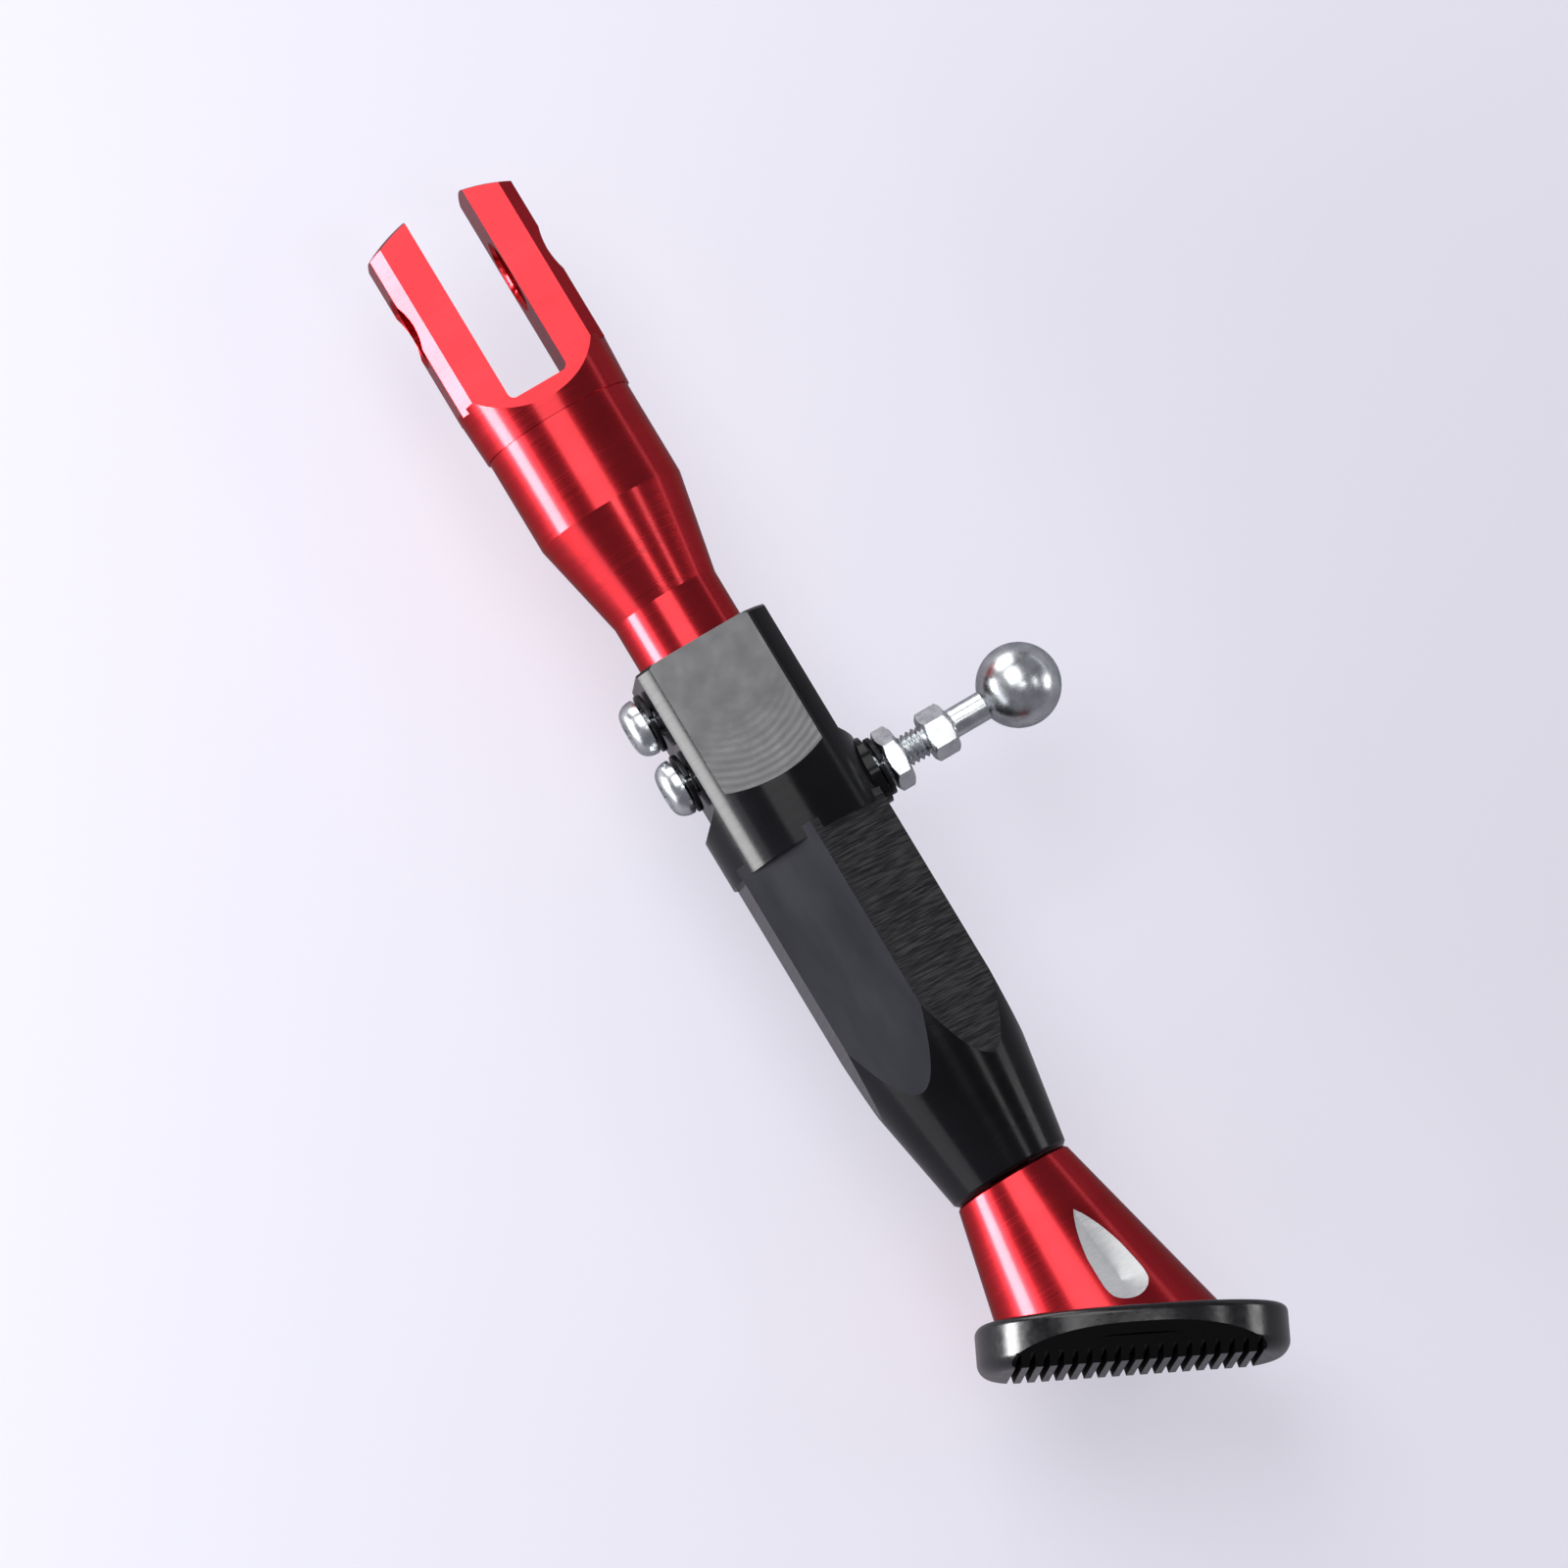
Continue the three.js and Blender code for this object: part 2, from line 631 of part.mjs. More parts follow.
function soleGrooves() {
  let grooves = null;
  const count = Math.floor((PAD_LENGTH - RIB_END_MARGIN) / RIB_PITCH);
  for (let i = 0; i < count; i += 1) {
    const x = PAD_OFFSET + (i - (count - 1) / 2) * RIB_PITCH;
    const height = GROOVE_DEPTH + 1;
    const z = -PAD_HEIGHT - 1 + height / 2;
    const groove = block(GROOVE_WIDTH, PAD_WIDTH + 2, height, x, 0, z);
    grooves = grooves ? grooves.add(groove) : groove;
  }
  return grooves;
}

function padSolid() {
  const outer = lofted(PAD_WALL.map(([inset, height]) => padRing(inset, height - PAD_HEIGHT)));
  const shoe = outer
    .subtract(soleBevel(1))
    .subtract(soleBevel(-1))
    .subtract(soleGrooves())
    .subtract(flangeSolid(GAP));
  return placedOnPad(shoe).subtract(footCone(GAP).intersect(abovePadPlane(PAD_LIP + GAP)));
}

// ---------------------------------------------------------------- materials

function anodisedRed() {
  return new THREE.MeshStandardMaterial({ color: 0xb3122a, roughness: 0.28, metalness: 0.9 });
}

function anodisedBlack() {
  return new THREE.MeshStandardMaterial({ color: 0x17181b, roughness: 0.38, metalness: 0.7 });
}

function zincSteel() {
  return new THREE.MeshStandardMaterial({ color: 0xc4c8cc, roughness: 0.25, metalness: 1 });
}

function blackSteel() {
  return new THREE.MeshStandardMaterial({ color: 0x1b1c20, roughness: 0.5, metalness: 0.8 });
}

function blackRubber() {
  return new THREE.MeshStandardMaterial({ color: 0x101113, roughness: 0.45, metalness: 0 });
}

// ---------------------------------------------------------------- assembly

const leg = new THREE.Group();
leg.rotation.y = -LEAN;

function addPiece(name, manifold, material, x = 0, down = 0) {
  const mesh = new THREE.Mesh(geometryOf(manifold), material);
  mesh.name = name;
  mesh.position.set(x, 0, -down);
  leg.add(mesh);
}

addPiece("fork", forkSolid(), anodisedRed());
addPiece("leg_body", legSolid(), anodisedBlack());
for (const [place, down] of [["upper", UPPER_SCREW], ["lower", LOWER_SCREW]]) {
  addPiece(`clamp_screw_${place}`, clampScrewSolid(), zincSteel(), 0, down);
  addPiece(`clamp_washer_${place}`, springWasher(WASHER_M6, -WASHER_SEAT, -1), blackSteel(), 0, down);
}
const studWasherX = BOSS_FACE + GAP;
const nutX = studWasherX + WASHER_M6.thick + GAP;
addPiece("stud_washer", springWasher(WASHER_M6, studWasherX, 1), blackSteel(), 0, STUD_LEVEL);
addPiece("jam_nut", jamNutSolid(), zincSteel(), nutX, STUD_LEVEL);
addPiece("ball_stud", ballStudSolid(), zincSteel(), 0, STUD_LEVEL);
addPiece("foot", footSolid(), anodisedRed());
addPiece("foot_bolt", footBoltSolid(), blackSteel());
addPiece("foot_washer", footWasherSolid(), blackSteel());
addPiece("pad", padSolid(), blackRubber());

const kickstand = new THREE.Group();
kickstand.add(leg);

export default kickstand;
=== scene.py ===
"""Adjustable side stand lying on its back on a pale floor, seen from the front."""

import json
import math

import bpy
from mathutils import Matrix, Vector


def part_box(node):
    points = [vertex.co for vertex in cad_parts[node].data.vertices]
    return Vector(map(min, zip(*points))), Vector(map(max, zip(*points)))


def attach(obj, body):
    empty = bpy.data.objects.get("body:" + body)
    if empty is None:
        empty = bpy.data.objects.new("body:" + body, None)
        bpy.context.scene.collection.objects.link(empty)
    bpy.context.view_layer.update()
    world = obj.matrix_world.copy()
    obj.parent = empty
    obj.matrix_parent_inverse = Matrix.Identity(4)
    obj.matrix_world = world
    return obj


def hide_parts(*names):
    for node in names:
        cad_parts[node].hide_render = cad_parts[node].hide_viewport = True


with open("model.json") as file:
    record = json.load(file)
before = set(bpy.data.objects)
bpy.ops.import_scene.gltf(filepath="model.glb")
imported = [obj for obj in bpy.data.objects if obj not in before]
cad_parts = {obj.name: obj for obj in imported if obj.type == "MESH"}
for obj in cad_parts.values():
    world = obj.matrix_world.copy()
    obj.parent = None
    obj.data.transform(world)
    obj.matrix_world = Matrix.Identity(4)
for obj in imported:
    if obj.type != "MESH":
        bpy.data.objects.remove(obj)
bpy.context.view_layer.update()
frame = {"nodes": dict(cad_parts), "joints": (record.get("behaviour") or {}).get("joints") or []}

# ------------------------------------------------------------------ the leg's own frame
# Pieces are modelled in millimetres with the leg upright: z is minus the distance down the
# leg from the pivot axis, +x is the side of the ball stud and -y is the front.

SLIDE = next(j for j in frame["joints"] if j["name"] == "length_slide")
LEAN = math.atan2(SLIDE["axis"][0], -SLIDE["axis"][2])
MM = 0.001
TO_ROW = Matrix.Rotation(-LEAN, 4, "Y") @ Matrix.Scale(MM, 4)
TO_LEG = TO_ROW.inverted()


def span(node):
    """Lowest and highest corner of a CAD node in the leg's frame, in millimetres."""
    points = [TO_LEG @ v.co for v in frame["nodes"][node].data.vertices]
    low = Vector([min(p[i] for p in points) for i in range(3)])
    high = Vector([max(p[i] for p in points) for i in range(3)])
    return low, high


FORK_LOW = span("fork")[0]
LEG_LOW, LEG_HIGH = span("leg_body")
UPPER_LOW, UPPER_HIGH = span("clamp_screw_upper")
LOWER_LOW, LOWER_HIGH = span("clamp_screw_lower")
STUD_LOW, STUD_HIGH = span("ball_stud")
NUT_LOW, NUT_HIGH = span("jam_nut")
RING_LOW, RING_HIGH = span("stud_washer")
FOOT_LOW, FOOT_HIGH = span("foot")
PAD_LOW, PAD_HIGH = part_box("pad")

# ------------------------------------------------------------------ sizes, in millimetres

SHANK_END = -FORK_LOW.z
HEAD_R = 14.5
TIP_ROUND_R = 18.0
TIP_DOME_R = 30.0
TIP_DOME_DROP = 0.55
EAR_WIDTH = 28.06
EAR_DEPTH = 15.3
EAR_CHAMFER = 2.3
EAR_BOTTOM = 16.9
SLOT_WIDTH = 11.4
SLOT_BOTTOM = 19.7
SLOT_CORNER_R = 1.2
PIVOT_R = 6.1
PIVOT_CHAMFER = 0.7
RUNOUT_R = 14.0
RUNOUT_END = 23.3
HEAD_BOTTOM = 26.4
HEAD_RIM = 0.35
RIM_STEP = 0.05
BODY_R = 13.7
TAPER_TOP = 44.0
NECK_TOP = 62.0
NECK_R = 9.95
SHANK_FLAT = 7.6
SHANK_FLAT_TOP = 75.0
SHANK_FLAT_END = 119.8

SLEEVE_TOP = -LEG_HIGH.z
LEG_BOTTOM = -LEG_LOW.z
SLEEVE_R = 15.5
BOSS_FACE = LEG_HIGH.x
BOSS_R = 6.3
BORE_R = 10.25
BORE_END = 136.0
BORE_POINT = 5.0
COLLAR_BOTTOM = 110.9
FRONT_FLAT = 12.1
FRONT_FLAT_END = 99.5
FRONT_RUNOUT_R = 21.6
SCREW_FLAT = 12.0
SCREW_FLAT_END = 98.0
STUD_FLAT = 13.4
STUD_FLAT_END = 96.6
HEX_ACROSS_FLATS = 28.3
LEG_END_R = 10.9
LEG_TAPER = 0.172
FOOT_THREAD_DEPTH = 27.0
THREAD_POINT = 3.0

M6_R = 2.85
M6_PITCH = 1.0
M6_THREAD_DEPTH = 0.5
M8_R = 3.85
THREAD_GAP = 0.3
THREAD_STEP = 0.1
SCREW_POINT = 0.8
BUTTON_R = 5.1
BUTTON_HEIGHT = 3.3
BUTTON_TOP_R = 2.9
BUTTON_RIM = 0.5
BUTTON_EDGE = 0.15
BUTTON_SOCKET = 4.0
BUTTON_SOCKET_DEPTH = 2.0
WASHER_INNER = 3.2
WASHER_SLIT = 0.9
WASHER_TWIST = 0.22
WASHER_CORNER_R = 0.16
NUT_ACROSS_FLATS = 10.0
NUT_BORE_GAP = 0.12
NUT_COUNTERSINK = 0.3
HEX_TURN = math.radians(38)
HEX_STEP = 0.08
HEX_SEGMENTS = 144
STUD_HEX_ACROSS_FLATS = 8.0
STUD_HEX_START = 26.1
STUD_HEX_END = 30.9
STUD_NECK_R = 2.6
STUD_NECK_FILLET = 0.6
STUD_RELIEF = 0.4

FOOT_TOP = -FOOT_HIGH.z
FOOT_TOP_R = 10.8
FOOT_TAPER = 0.235
BOLT_SEAT = 193.0
BOLT_HEAD_R = 6.5
TEAR_AZIMUTH = math.radians(21)
TEAR_TOP = 188.0
TEAR_BOTTOM = 207.0
TEAR_R = 4.4
TEAR_DEPTH = 1.3
TEAR_WAIST = 0.75

PAD_MARGIN = 0.02
PAD_LENGTH = (PAD_HIGH.x - PAD_LOW.x) / MM - PAD_MARGIN
PAD_WIDTH = (PAD_HIGH.y - PAD_LOW.y) / MM - PAD_MARGIN
PAD_HEIGHT = (PAD_HIGH.z - PAD_LOW.z) / MM
PAD_SQUARENESS = 2.5
PAD_LIP = 1.8
PAD_FLOOR_R = 2.6
PAD_TOP_R = 1.3
FLANGE_THICK = 2.8
FLANGE_MARGIN = 3.0
RIB_PITCH = 2.42
GROOVE_WIDTH = 1.0
GROOVE_DEPTH = 2.2
GROOVE_OPEN = 0.18
GROOVE_CLOSE = 0.12
RIB_END_MARGIN = 8.0
BEVEL_RISE = 5.6
BEVEL_RUN = 9.0
GAP = 0.3

EDGE = 0.5
FORK_EDGE = 0.18
LEG_EDGE = 0.22
FOOT_EDGE = 0.15
PAD_EDGE = 0.12
OVERRUN = 1.0
REACH = 60.0
ROUND = 192
SMALL = 72
SMOOTH_ANGLE = math.radians(35)
BEVEL_ANGLE = math.radians(8)

# ------------------------------------------------------------------ meshes


def make(name, points, faces, material=None):
    mesh = bpy.data.meshes.new(name)
    mesh.from_pydata([tuple(p) for p in points], [], faces)
    mesh.update()
    piece = bpy.data.objects.new(name, mesh)
    bpy.context.scene.collection.objects.link(piece)
    if material:
        mesh.materials.append(material)
    return piece


def along_z(radius, angle, position):
    return (radius * math.cos(angle), radius * math.sin(angle), position)


def along_x(radius, angle, position):
    return (position, radius * math.cos(angle), radius * math.sin(angle))


def rings(name, stations, radius_at, segments, place, material=None, turn=0.0):
    """A closed body through rings. A station whose radius is zero at an end is a point."""
    points = []
    faces = []
    previous = None
    for station in stations:
        angles = [turn + 2 * math.pi * i / segments for i in range(segments)]
        radii = [radius_at(station, a) for a in angles]
        start = len(points)
        position = station[1]
        if max(radii) < 1e-6:
            points.append(place(0, 0, position))
            ring = [start] * segments
        else:
            points.extend(place(r, a, position) for r, a in zip(radii, angles))
            ring = list(range(start, start + segments))
        if previous is not None:
            for i in range(segments):
                j = (i + 1) % segments
                corners = [previous[i], previous[j], ring[j], ring[i]]
                face = list(dict.fromkeys(corners))
                if len(face) > 2:
                    faces.append(face)
        previous = ring
    return make(name, points, faces, material)


def turned(name, profile, segments=ROUND, place=along_z, material=None):
    """A turned body. The profile is (radius, position), from one end of the axis to the other."""
    piece = rings(name, profile, lambda station, _: station[0], segments, place, material)
    outwards(piece)
    return piece


def down(profile):
    """A profile given by distance down the leg, as positions along z."""
    return [(radius, -distance) for radius, distance in profile]


def outwards(piece):
    """Turns a closed mesh's faces outwards, judged by its signed volume."""
    mesh = piece.data
    volume = 0.0
    for polygon in mesh.polygons:
        corners = [mesh.vertices[i].co for i in polygon.vertices]
        for i in range(1, len(corners) - 1):
            volume += corners[0].dot(corners[i].cross(corners[i + 1]))
    if volume < 0:
        mesh.flip_normals()


def prism(name, outline, length, matrix, material=None):
    """An outline in the local xy plane, extruded along local z and then placed."""
    count = len(outline)
    points = [matrix @ Vector((x, y, 0)) for x, y in outline]
    points += [matrix @ Vector((x, y, length)) for x, y in outline]
    faces = [list(range(count)), list(range(count, 2 * count))[::-1]]
    for i in range(count):
        j = (i + 1) % count
        faces.append([i, i + count, j + count, j])
    piece = make(name, points, faces, material)
    outwards(piece)
    return piece


def block(name, low, high, material=None):
    outline = [(low[0], low[1]), (high[0], low[1]), (high[0], high[1]), (low[0], high[1])]
    return prism(name, outline, high[2] - low[2], Matrix.Translation((0, 0, low[2])), material)


def arc(centre, radius, start, end, steps):
    """Points on an arc, with both ends, angles in degrees."""
    points = []
    for i in range(steps + 1):
        angle = math.radians(start + (end - start) * i / steps)
        points.append((centre[0] + radius * math.cos(angle), centre[1] + radius * math.sin(angle)))
    return points


def hexagon(across_flats, turn):
    radius = across_flats / 2 / math.cos(math.pi / 6)
    angles = [turn + i * math.pi / 3 for i in range(6)]
    return [(radius * math.cos(a), radius * math.sin(a)) for a in angles]


def hex_radius(across_flats, angle, turn):
    """Distance from the centre of a hexagon to its outline, in a direction."""
    sector = math.pi / 3
    offset = (angle - turn) % sector - sector / 2
    return across_flats / 2 / math.cos(offset)


def settle(piece):
    """Applies a piece's modifiers to its mesh."""
    graph = bpy.context.evaluated_depsgraph_get()
    mesh = bpy.data.meshes.new_from_object(piece.evaluated_get(graph))
    piece.modifiers.clear()
    old = piece.data
    piece.data = mesh
    bpy.data.meshes.remove(old)


def combine(piece, tool, operation):
    modifier = piece.modifiers.new(operation.lower(), "BOOLEAN")
    modifier.operation = operation
    modifier.solver = "EXACT"
    modifier.material_mode = "TRANSFER"
    modifier.object = tool
    bpy.context.view_layer.update()
    settle(piece)
    bpy.data.objects.remove(tool, do_unlink=True)
    return piece


def cut(piece, *tools):
    for tool in tools:
        combine(piece, tool, "DIFFERENCE")
    return piece


def join(piece, *tools):
    for tool in tools:
        combine(piece, tool, "UNION")
    return piece


def keep(piece, *tools):
    for tool in tools:
        combine(piece, tool, "INTERSECT")
    return piece


def break_edges(piece, width, segments=2):
    """Rounds the sharp edges of a finished body."""
    bevel = piece.modifiers.new("edges", "BEVEL")
    bevel.width = width
    bevel.segments = segments
    bevel.limit_method = "ANGLE"
    bevel.angle_limit = BEVEL_ANGLE
    bevel.use_clamp_overlap = True
    bpy.context.view_layer.update()
    settle(piece)


def deliver(piece, body, node, placed=False):
    if not placed:
        piece.data.transform(TO_ROW)
    piece.data.shade_smooth()
    piece.data.set_sharp_from_angle(angle=SMOOTH_ANGLE)
    weighted = piece.modifiers.new("normals", "WEIGHTED_NORMAL")
    weighted.keep_sharp = True
    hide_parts(node)
    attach(piece, body)
    return piece


# ------------------------------------------------------------------ materials


class Shader:
    """A node material with one Principled shader and the leg's frame as its coordinates."""

    def __init__(self, name):
        self.material = bpy.data.materials.new(name)
        self.material.use_nodes = True
        tree = self.material.node_tree
        self.nodes = tree.nodes
        self.links = tree.links
        self.surface = self.nodes["Principled BSDF"]
        coordinates = self.nodes.new("ShaderNodeTexCoord")
        mapping = self.nodes.new("ShaderNodeMapping")
        mapping.inputs["Rotation"].default_value = (0, LEAN, 0)
        mapping.inputs["Scale"].default_value = (1 / MM,) * 3
        self.links.new(coordinates.outputs["Object"], mapping.inputs["Vector"])
        self.place = mapping.outputs["Vector"]

    def set(self, **values):
        for name, value in values.items():
            self.surface.inputs[name.replace("_", " ")].default_value = value
        return self

    def stretched(self, scale, location=(0, 0, 0)):
        """The leg's coordinates in millimetres, moved and then scaled on each axis."""
        moved = self.nodes.new("ShaderNodeVectorMath")
        moved.operation = "ADD"
        moved.inputs[1].default_value = location
        scaled = self.nodes.new("ShaderNodeVectorMath")
        scaled.operation = "MULTIPLY"
        scaled.inputs[1].default_value = scale
        self.links.new(self.place, moved.inputs[0])
        self.links.new(moved.outputs["Vector"], scaled.inputs[0])
        return scaled.outputs["Vector"]

    def noise(self, scale, detail=3.0, location=(0, 0, 0)):
        texture = self.nodes.new("ShaderNodeTexNoise")
        texture.inputs["Scale"].default_value = 1.0
        texture.inputs["Detail"].default_value = detail
        self.links.new(self.stretched(scale, location), texture.inputs["Vector"])
        return texture.outputs["Fac"]

    def ring_marks(self, centre, pitch):
        """Waves in circles about a line through `centre`, along y."""
        texture = self.nodes.new("ShaderNodeTexWave")
        texture.wave_type = "RINGS"
        texture.rings_direction = "Y"
        texture.inputs["Scale"].default_value = 1.0
        texture.inputs["Distortion"].default_value = 2.5
        texture.inputs["Detail"].default_value = 3.0
        texture.inputs["Detail Scale"].default_value = 0.6
        moved = self.stretched((0.3 / pitch,) * 3, [-c for c in centre])
        self.links.new(moved, texture.inputs["Vector"])
        return texture.outputs["Fac"]

    def level(self, off, on):
        """Zero above the height `off` in the leg's frame, rising to one below the height `on`."""
        split = self.nodes.new("ShaderNodeSeparateXYZ")
        scale = self.nodes.new("ShaderNodeMapRange")
        scale.inputs["From Min"].default_value = off
        scale.inputs["From Max"].default_value = on
        self.links.new(self.place, split.inputs["Vector"])
        self.links.new(split.outputs["Z"], scale.inputs["Value"])
        return scale.outputs["Result"]

    def product(self, first, second):
        node = self.nodes.new("ShaderNodeMath")
        node.operation = "MULTIPLY"
        self.links.new(first, node.inputs[0])
        self.links.new(second, node.inputs[1])
        return node.outputs["Value"]

    def ramp(self, source, low, high, low_at=0.3, high_at=0.7):
        """Maps a grey value to a range between two colours or two greys."""
        node = self.nodes.new("ShaderNodeValToRGB")
        first, last = node.color_ramp.elements
        first.position = low_at
        last.position = high_at
        first.color = low if isinstance(low, tuple) else (low, low, low, 1)
        last.color = high if isinstance(high, tuple) else (high, high, high, 1)
        self.links.new(source, node.inputs["Fac"])
        return node.outputs["Color"]

    def colour(self, source, low, high, low_at=0.3, high_at=0.7):
        painted = self.ramp(source, low, high, low_at, high_at)
        self.links.new(painted, self.surface.inputs["Base Color"])
        return self

    def roughness(self, source, low, high):
        self.links.new(self.ramp(source, low, high), self.surface.inputs["Roughness"])
        return self

    def bump(self, *heights):
        """Stacks bumps, each (height source, depth in millimetres)."""
        normal = None
        for source, depth in heights:
            node = self.nodes.new("ShaderNodeBump")
            node.inputs["Strength"].default_value = 1.0
            node.inputs["Distance"].default_value = depth * MM
            self.links.new(source, node.inputs["Height"])
            if normal:
                self.links.new(normal, node.inputs["Normal"])
            normal = node.outputs["Normal"]
        self.links.new(normal, self.surface.inputs["Normal"])
        return self


def anodised_red():
    """Red anodising over turned metal: fine rings and a slight depth of dye."""
    shader = Shader("anodised_red").set(Metallic=1.0, Coat_Weight=0.35, Coat_Roughness=0.12)
    shader.set(Specular_Tint=(0.5, 0.2, 0.25, 1))
    dye = shader.noise((0.05, 0.05, 0.12), 4.0)
    rings_fine = shader.noise((0.04, 0.04, 7.0), 3.0)
    shader.colour(dye, (0.58, 0.020, 0.028, 1), (0.68, 0.027, 0.038, 1))
    shader.roughness(rings_fine, 0.21, 0.28)
    shader.bump((rings_fine, 0.0022), (shader.noise((1.6, 1.6, 1.6), 2.0), 0.0015))
    return shader.material


def anodised_black():
    """Satin black anodising over turned metal."""
    shader = Shader("anodised_black").set(Metallic=0.0, Specular_IOR_Level=0.25)
    rings_fine = shader.noise((0.04, 0.04, 5.0), 3.0)
    cloud = shader.noise((0.06, 0.06, 0.06))
    shader.colour(cloud, (0.004, 0.004, 0.005, 1), (0.008, 0.008, 0.01, 1))
    shader.roughness(rings_fine, 0.13, 0.22)
    shader.bump((rings_fine, 0.002))
    return shader.material


def black_flat_painted_sheen():
    """The sleeve's flats: satin black painted a lighter grey than the other black anodising as
    painted sheen, with faint rings of the cutter about the middle of the flat, painted as lighter
    bands that fade out up the flat, a painted sheen toward its lower end.
    """
    shader = Shader("anodised_black_arcs_painted_sheen").set(Metallic=0.0, Specular_IOR_Level=1.0, IOR=1.72)
    centre = (0, 0, -(FRONT_FLAT_END - FRONT_RUNOUT_R))
    # Painted sheen: the cutter rings show only toward the lower end of the flat and fade out
    # upwards.
    sheen_toward_low_end = shader.level(-SLEEVE_TOP - 13, -FRONT_FLAT_END + 4)
    arcs_and_sheen = shader.product(shader.ring_marks(centre, 1.3), sheen_toward_low_end)
    mottle = shader.noise((0.25, 0.25, 0.25), 5.0)
    # Painted sheen: the flat is painted a lighter grey than the rest of the black anodising, and
    # its rings lighter still.
    shader.colour(arcs_and_sheen, (0.03, 0.03, 0.036, 1), (0.09, 0.09, 0.1, 1), 0.1, 0.9)
    shader.roughness(mottle, 0.26, 0.42)
    shader.bump((arcs_and_sheen, 0.015), (mottle, 0.04))
    return shader.material


def black_milled_glints():
    """A hexagon face with irregular marks of the cutter across it; the marks are painted lighter
    than the face, painted glints where they catch the light.
    """
    shader = Shader("anodised_black_marks_and_glints").set(Metallic=0.0, Specular_IOR_Level=0.6)
    marks = shader.noise((0.12, 0.12, 1.3), 6.0)
    scratches_and_glints = shader.noise((0.22, 0.22, 3.6), 5.0, (13, 7, 3))
    # Painted glints: the cutter marks are painted light grey on the dark face.
    shader.colour(scratches_and_glints, (0.006, 0.006, 0.007, 1), (0.055, 0.055, 0.055, 1), 0.42, 0.66)
    shader.roughness(scratches_and_glints, 0.25, 0.5)
    shader.bump((marks, 0.07), (scratches_and_glints, 0.03))
    return shader.material


def black_satin_painted_sheen():
    """The smooth faces of the hexagon, painted lighter and bluer than the other black anodising as
    painted sheen.
    """
    shader = Shader("anodised_black_satin_painted_sheen").set(Metallic=0.0, Specular_IOR_Level=0.3)
    cloud = shader.noise((0.2, 0.2, 0.06), 3.0)
    # Painted sheen: a lighter, bluer copy of the black anodising.
    shader.colour(cloud, (0.014, 0.014, 0.02, 1), (0.02, 0.02, 0.028, 1))
    shader.roughness(cloud, 0.3, 0.38)
    shader.bump((shader.noise((0.1, 0.1, 2.0), 3.0), 0.003))
    return shader.material


def bright_zinc():
    shader = Shader("bright_zinc").set(Metallic=1.0, Specular_Tint=(0.6, 0.62, 0.65, 1))
    cloud = shader.noise((0.5, 0.5, 0.5), 5.0)
    shader.colour(cloud, (0.66, 0.69, 0.71, 1), (0.9, 0.92, 0.93, 1))
    shader.roughness(cloud, 0.22, 0.32)
    shader.bump((shader.noise((1.2, 1.2, 1.2), 2.0), 0.004))
    return shader.material


def bare_metal():
    """Bright cut aluminium of the tear-shaped facet."""
    shader = Shader("bare_aluminium").set(Metallic=0.55, Specular_IOR_Level=1.0)
    cuts = shader.noise((0.6, 0.6, 3.5), 3.0)
    shader.colour(cuts, (0.84, 0.85, 0.85, 1), (0.96, 0.96, 0.96, 1))
    shader.roughness(cuts, 0.32, 0.45)
    shader.bump((cuts, 0.006))
    return shader.material


def black_oxide():
    shader = Shader("black_oxide").set(Metallic=0.8)
    cloud = shader.noise((0.9, 0.9, 0.9), 5.0)
    shader.colour(cloud, (0.012, 0.012, 0.014, 1), (0.035, 0.035, 0.04, 1))
    shader.roughness(cloud, 0.3, 0.5)
    shader.bump((cloud, 0.02))
    return shader.material


def black_rubber():
    """Moulded rubber: glossy skin with a faint orange peel."""
    shader = Shader("black_rubber").set(Metallic=0.0, Specular_IOR_Level=0.7)
    peel = shader.noise((0.9, 0.9, 0.9), 4.0)
    shader.colour(peel, (0.004, 0.004, 0.005, 1), (0.008, 0.008, 0.009, 1))
    shader.roughness(peel, 0.16, 0.26)
    shader.bump((peel, 0.02))
    return shader.material


def rubber_sole():
    """Matt rubber of the slanted and ribbed sole."""
    shader = Shader("rubber_sole").set(Metallic=0.0, Specular_IOR_Level=0.06)
    grain = shader.noise((3.0, 3.0, 3.0), 5.0)
    shader.colour(grain, (0.003, 0.003, 0.003, 1), (0.007, 0.007, 0.007, 1))
    shader.roughness(grain, 0.45, 0.6)
    shader.bump((grain, 0.04))
    return shader.material


RED = anodised_red()
BLACK = anodised_black()
BLACK_FLAT_PAINTED_SHEEN = black_flat_painted_sheen()
BLACK_MILLED_GLINTS = black_milled_glints()
BLACK_SATIN_PAINTED_SHEEN = black_satin_painted_sheen()
ZINC = bright_zinc()
BARE = bare_metal()
OXIDE = black_oxide()
RUBBER = black_rubber()
SOLE = rubber_sole()

# ------------------------------------------------------------------ shared cutters


def side_matrix(sign, flat):
    """Local xy onto the leg's xz plane; local z runs outwards from a front or back flat."""
    turn = Matrix.Rotation(math.pi / 2, 4, "X")
    if sign > 0:
        return Matrix.Translation((0, flat + REACH, 0)) @ turn
    return Matrix.Translation((0, -flat, 0)) @ turn


def runout(radius, end, flat, sign, material):
    """The space outside a flat, open at the top, with a round lower end at `end`."""
    centre = -(end - radius)
    outline = [(-radius, REACH)] + arc((0, centre), radius, 180, 360, 96) + [(radius, REACH)]
    return prism("runout", outline, REACH, side_matrix(sign, flat), material)


def through_y(outline, depth, material=None):
    """An outline in the leg's xz plane, right through from front to back."""
    matrix = Matrix.Translation((0, depth, 0)) @ Matrix.Rotation(math.pi / 2, 4, "X")
    return prism("through", outline, 2 * depth, matrix, material)


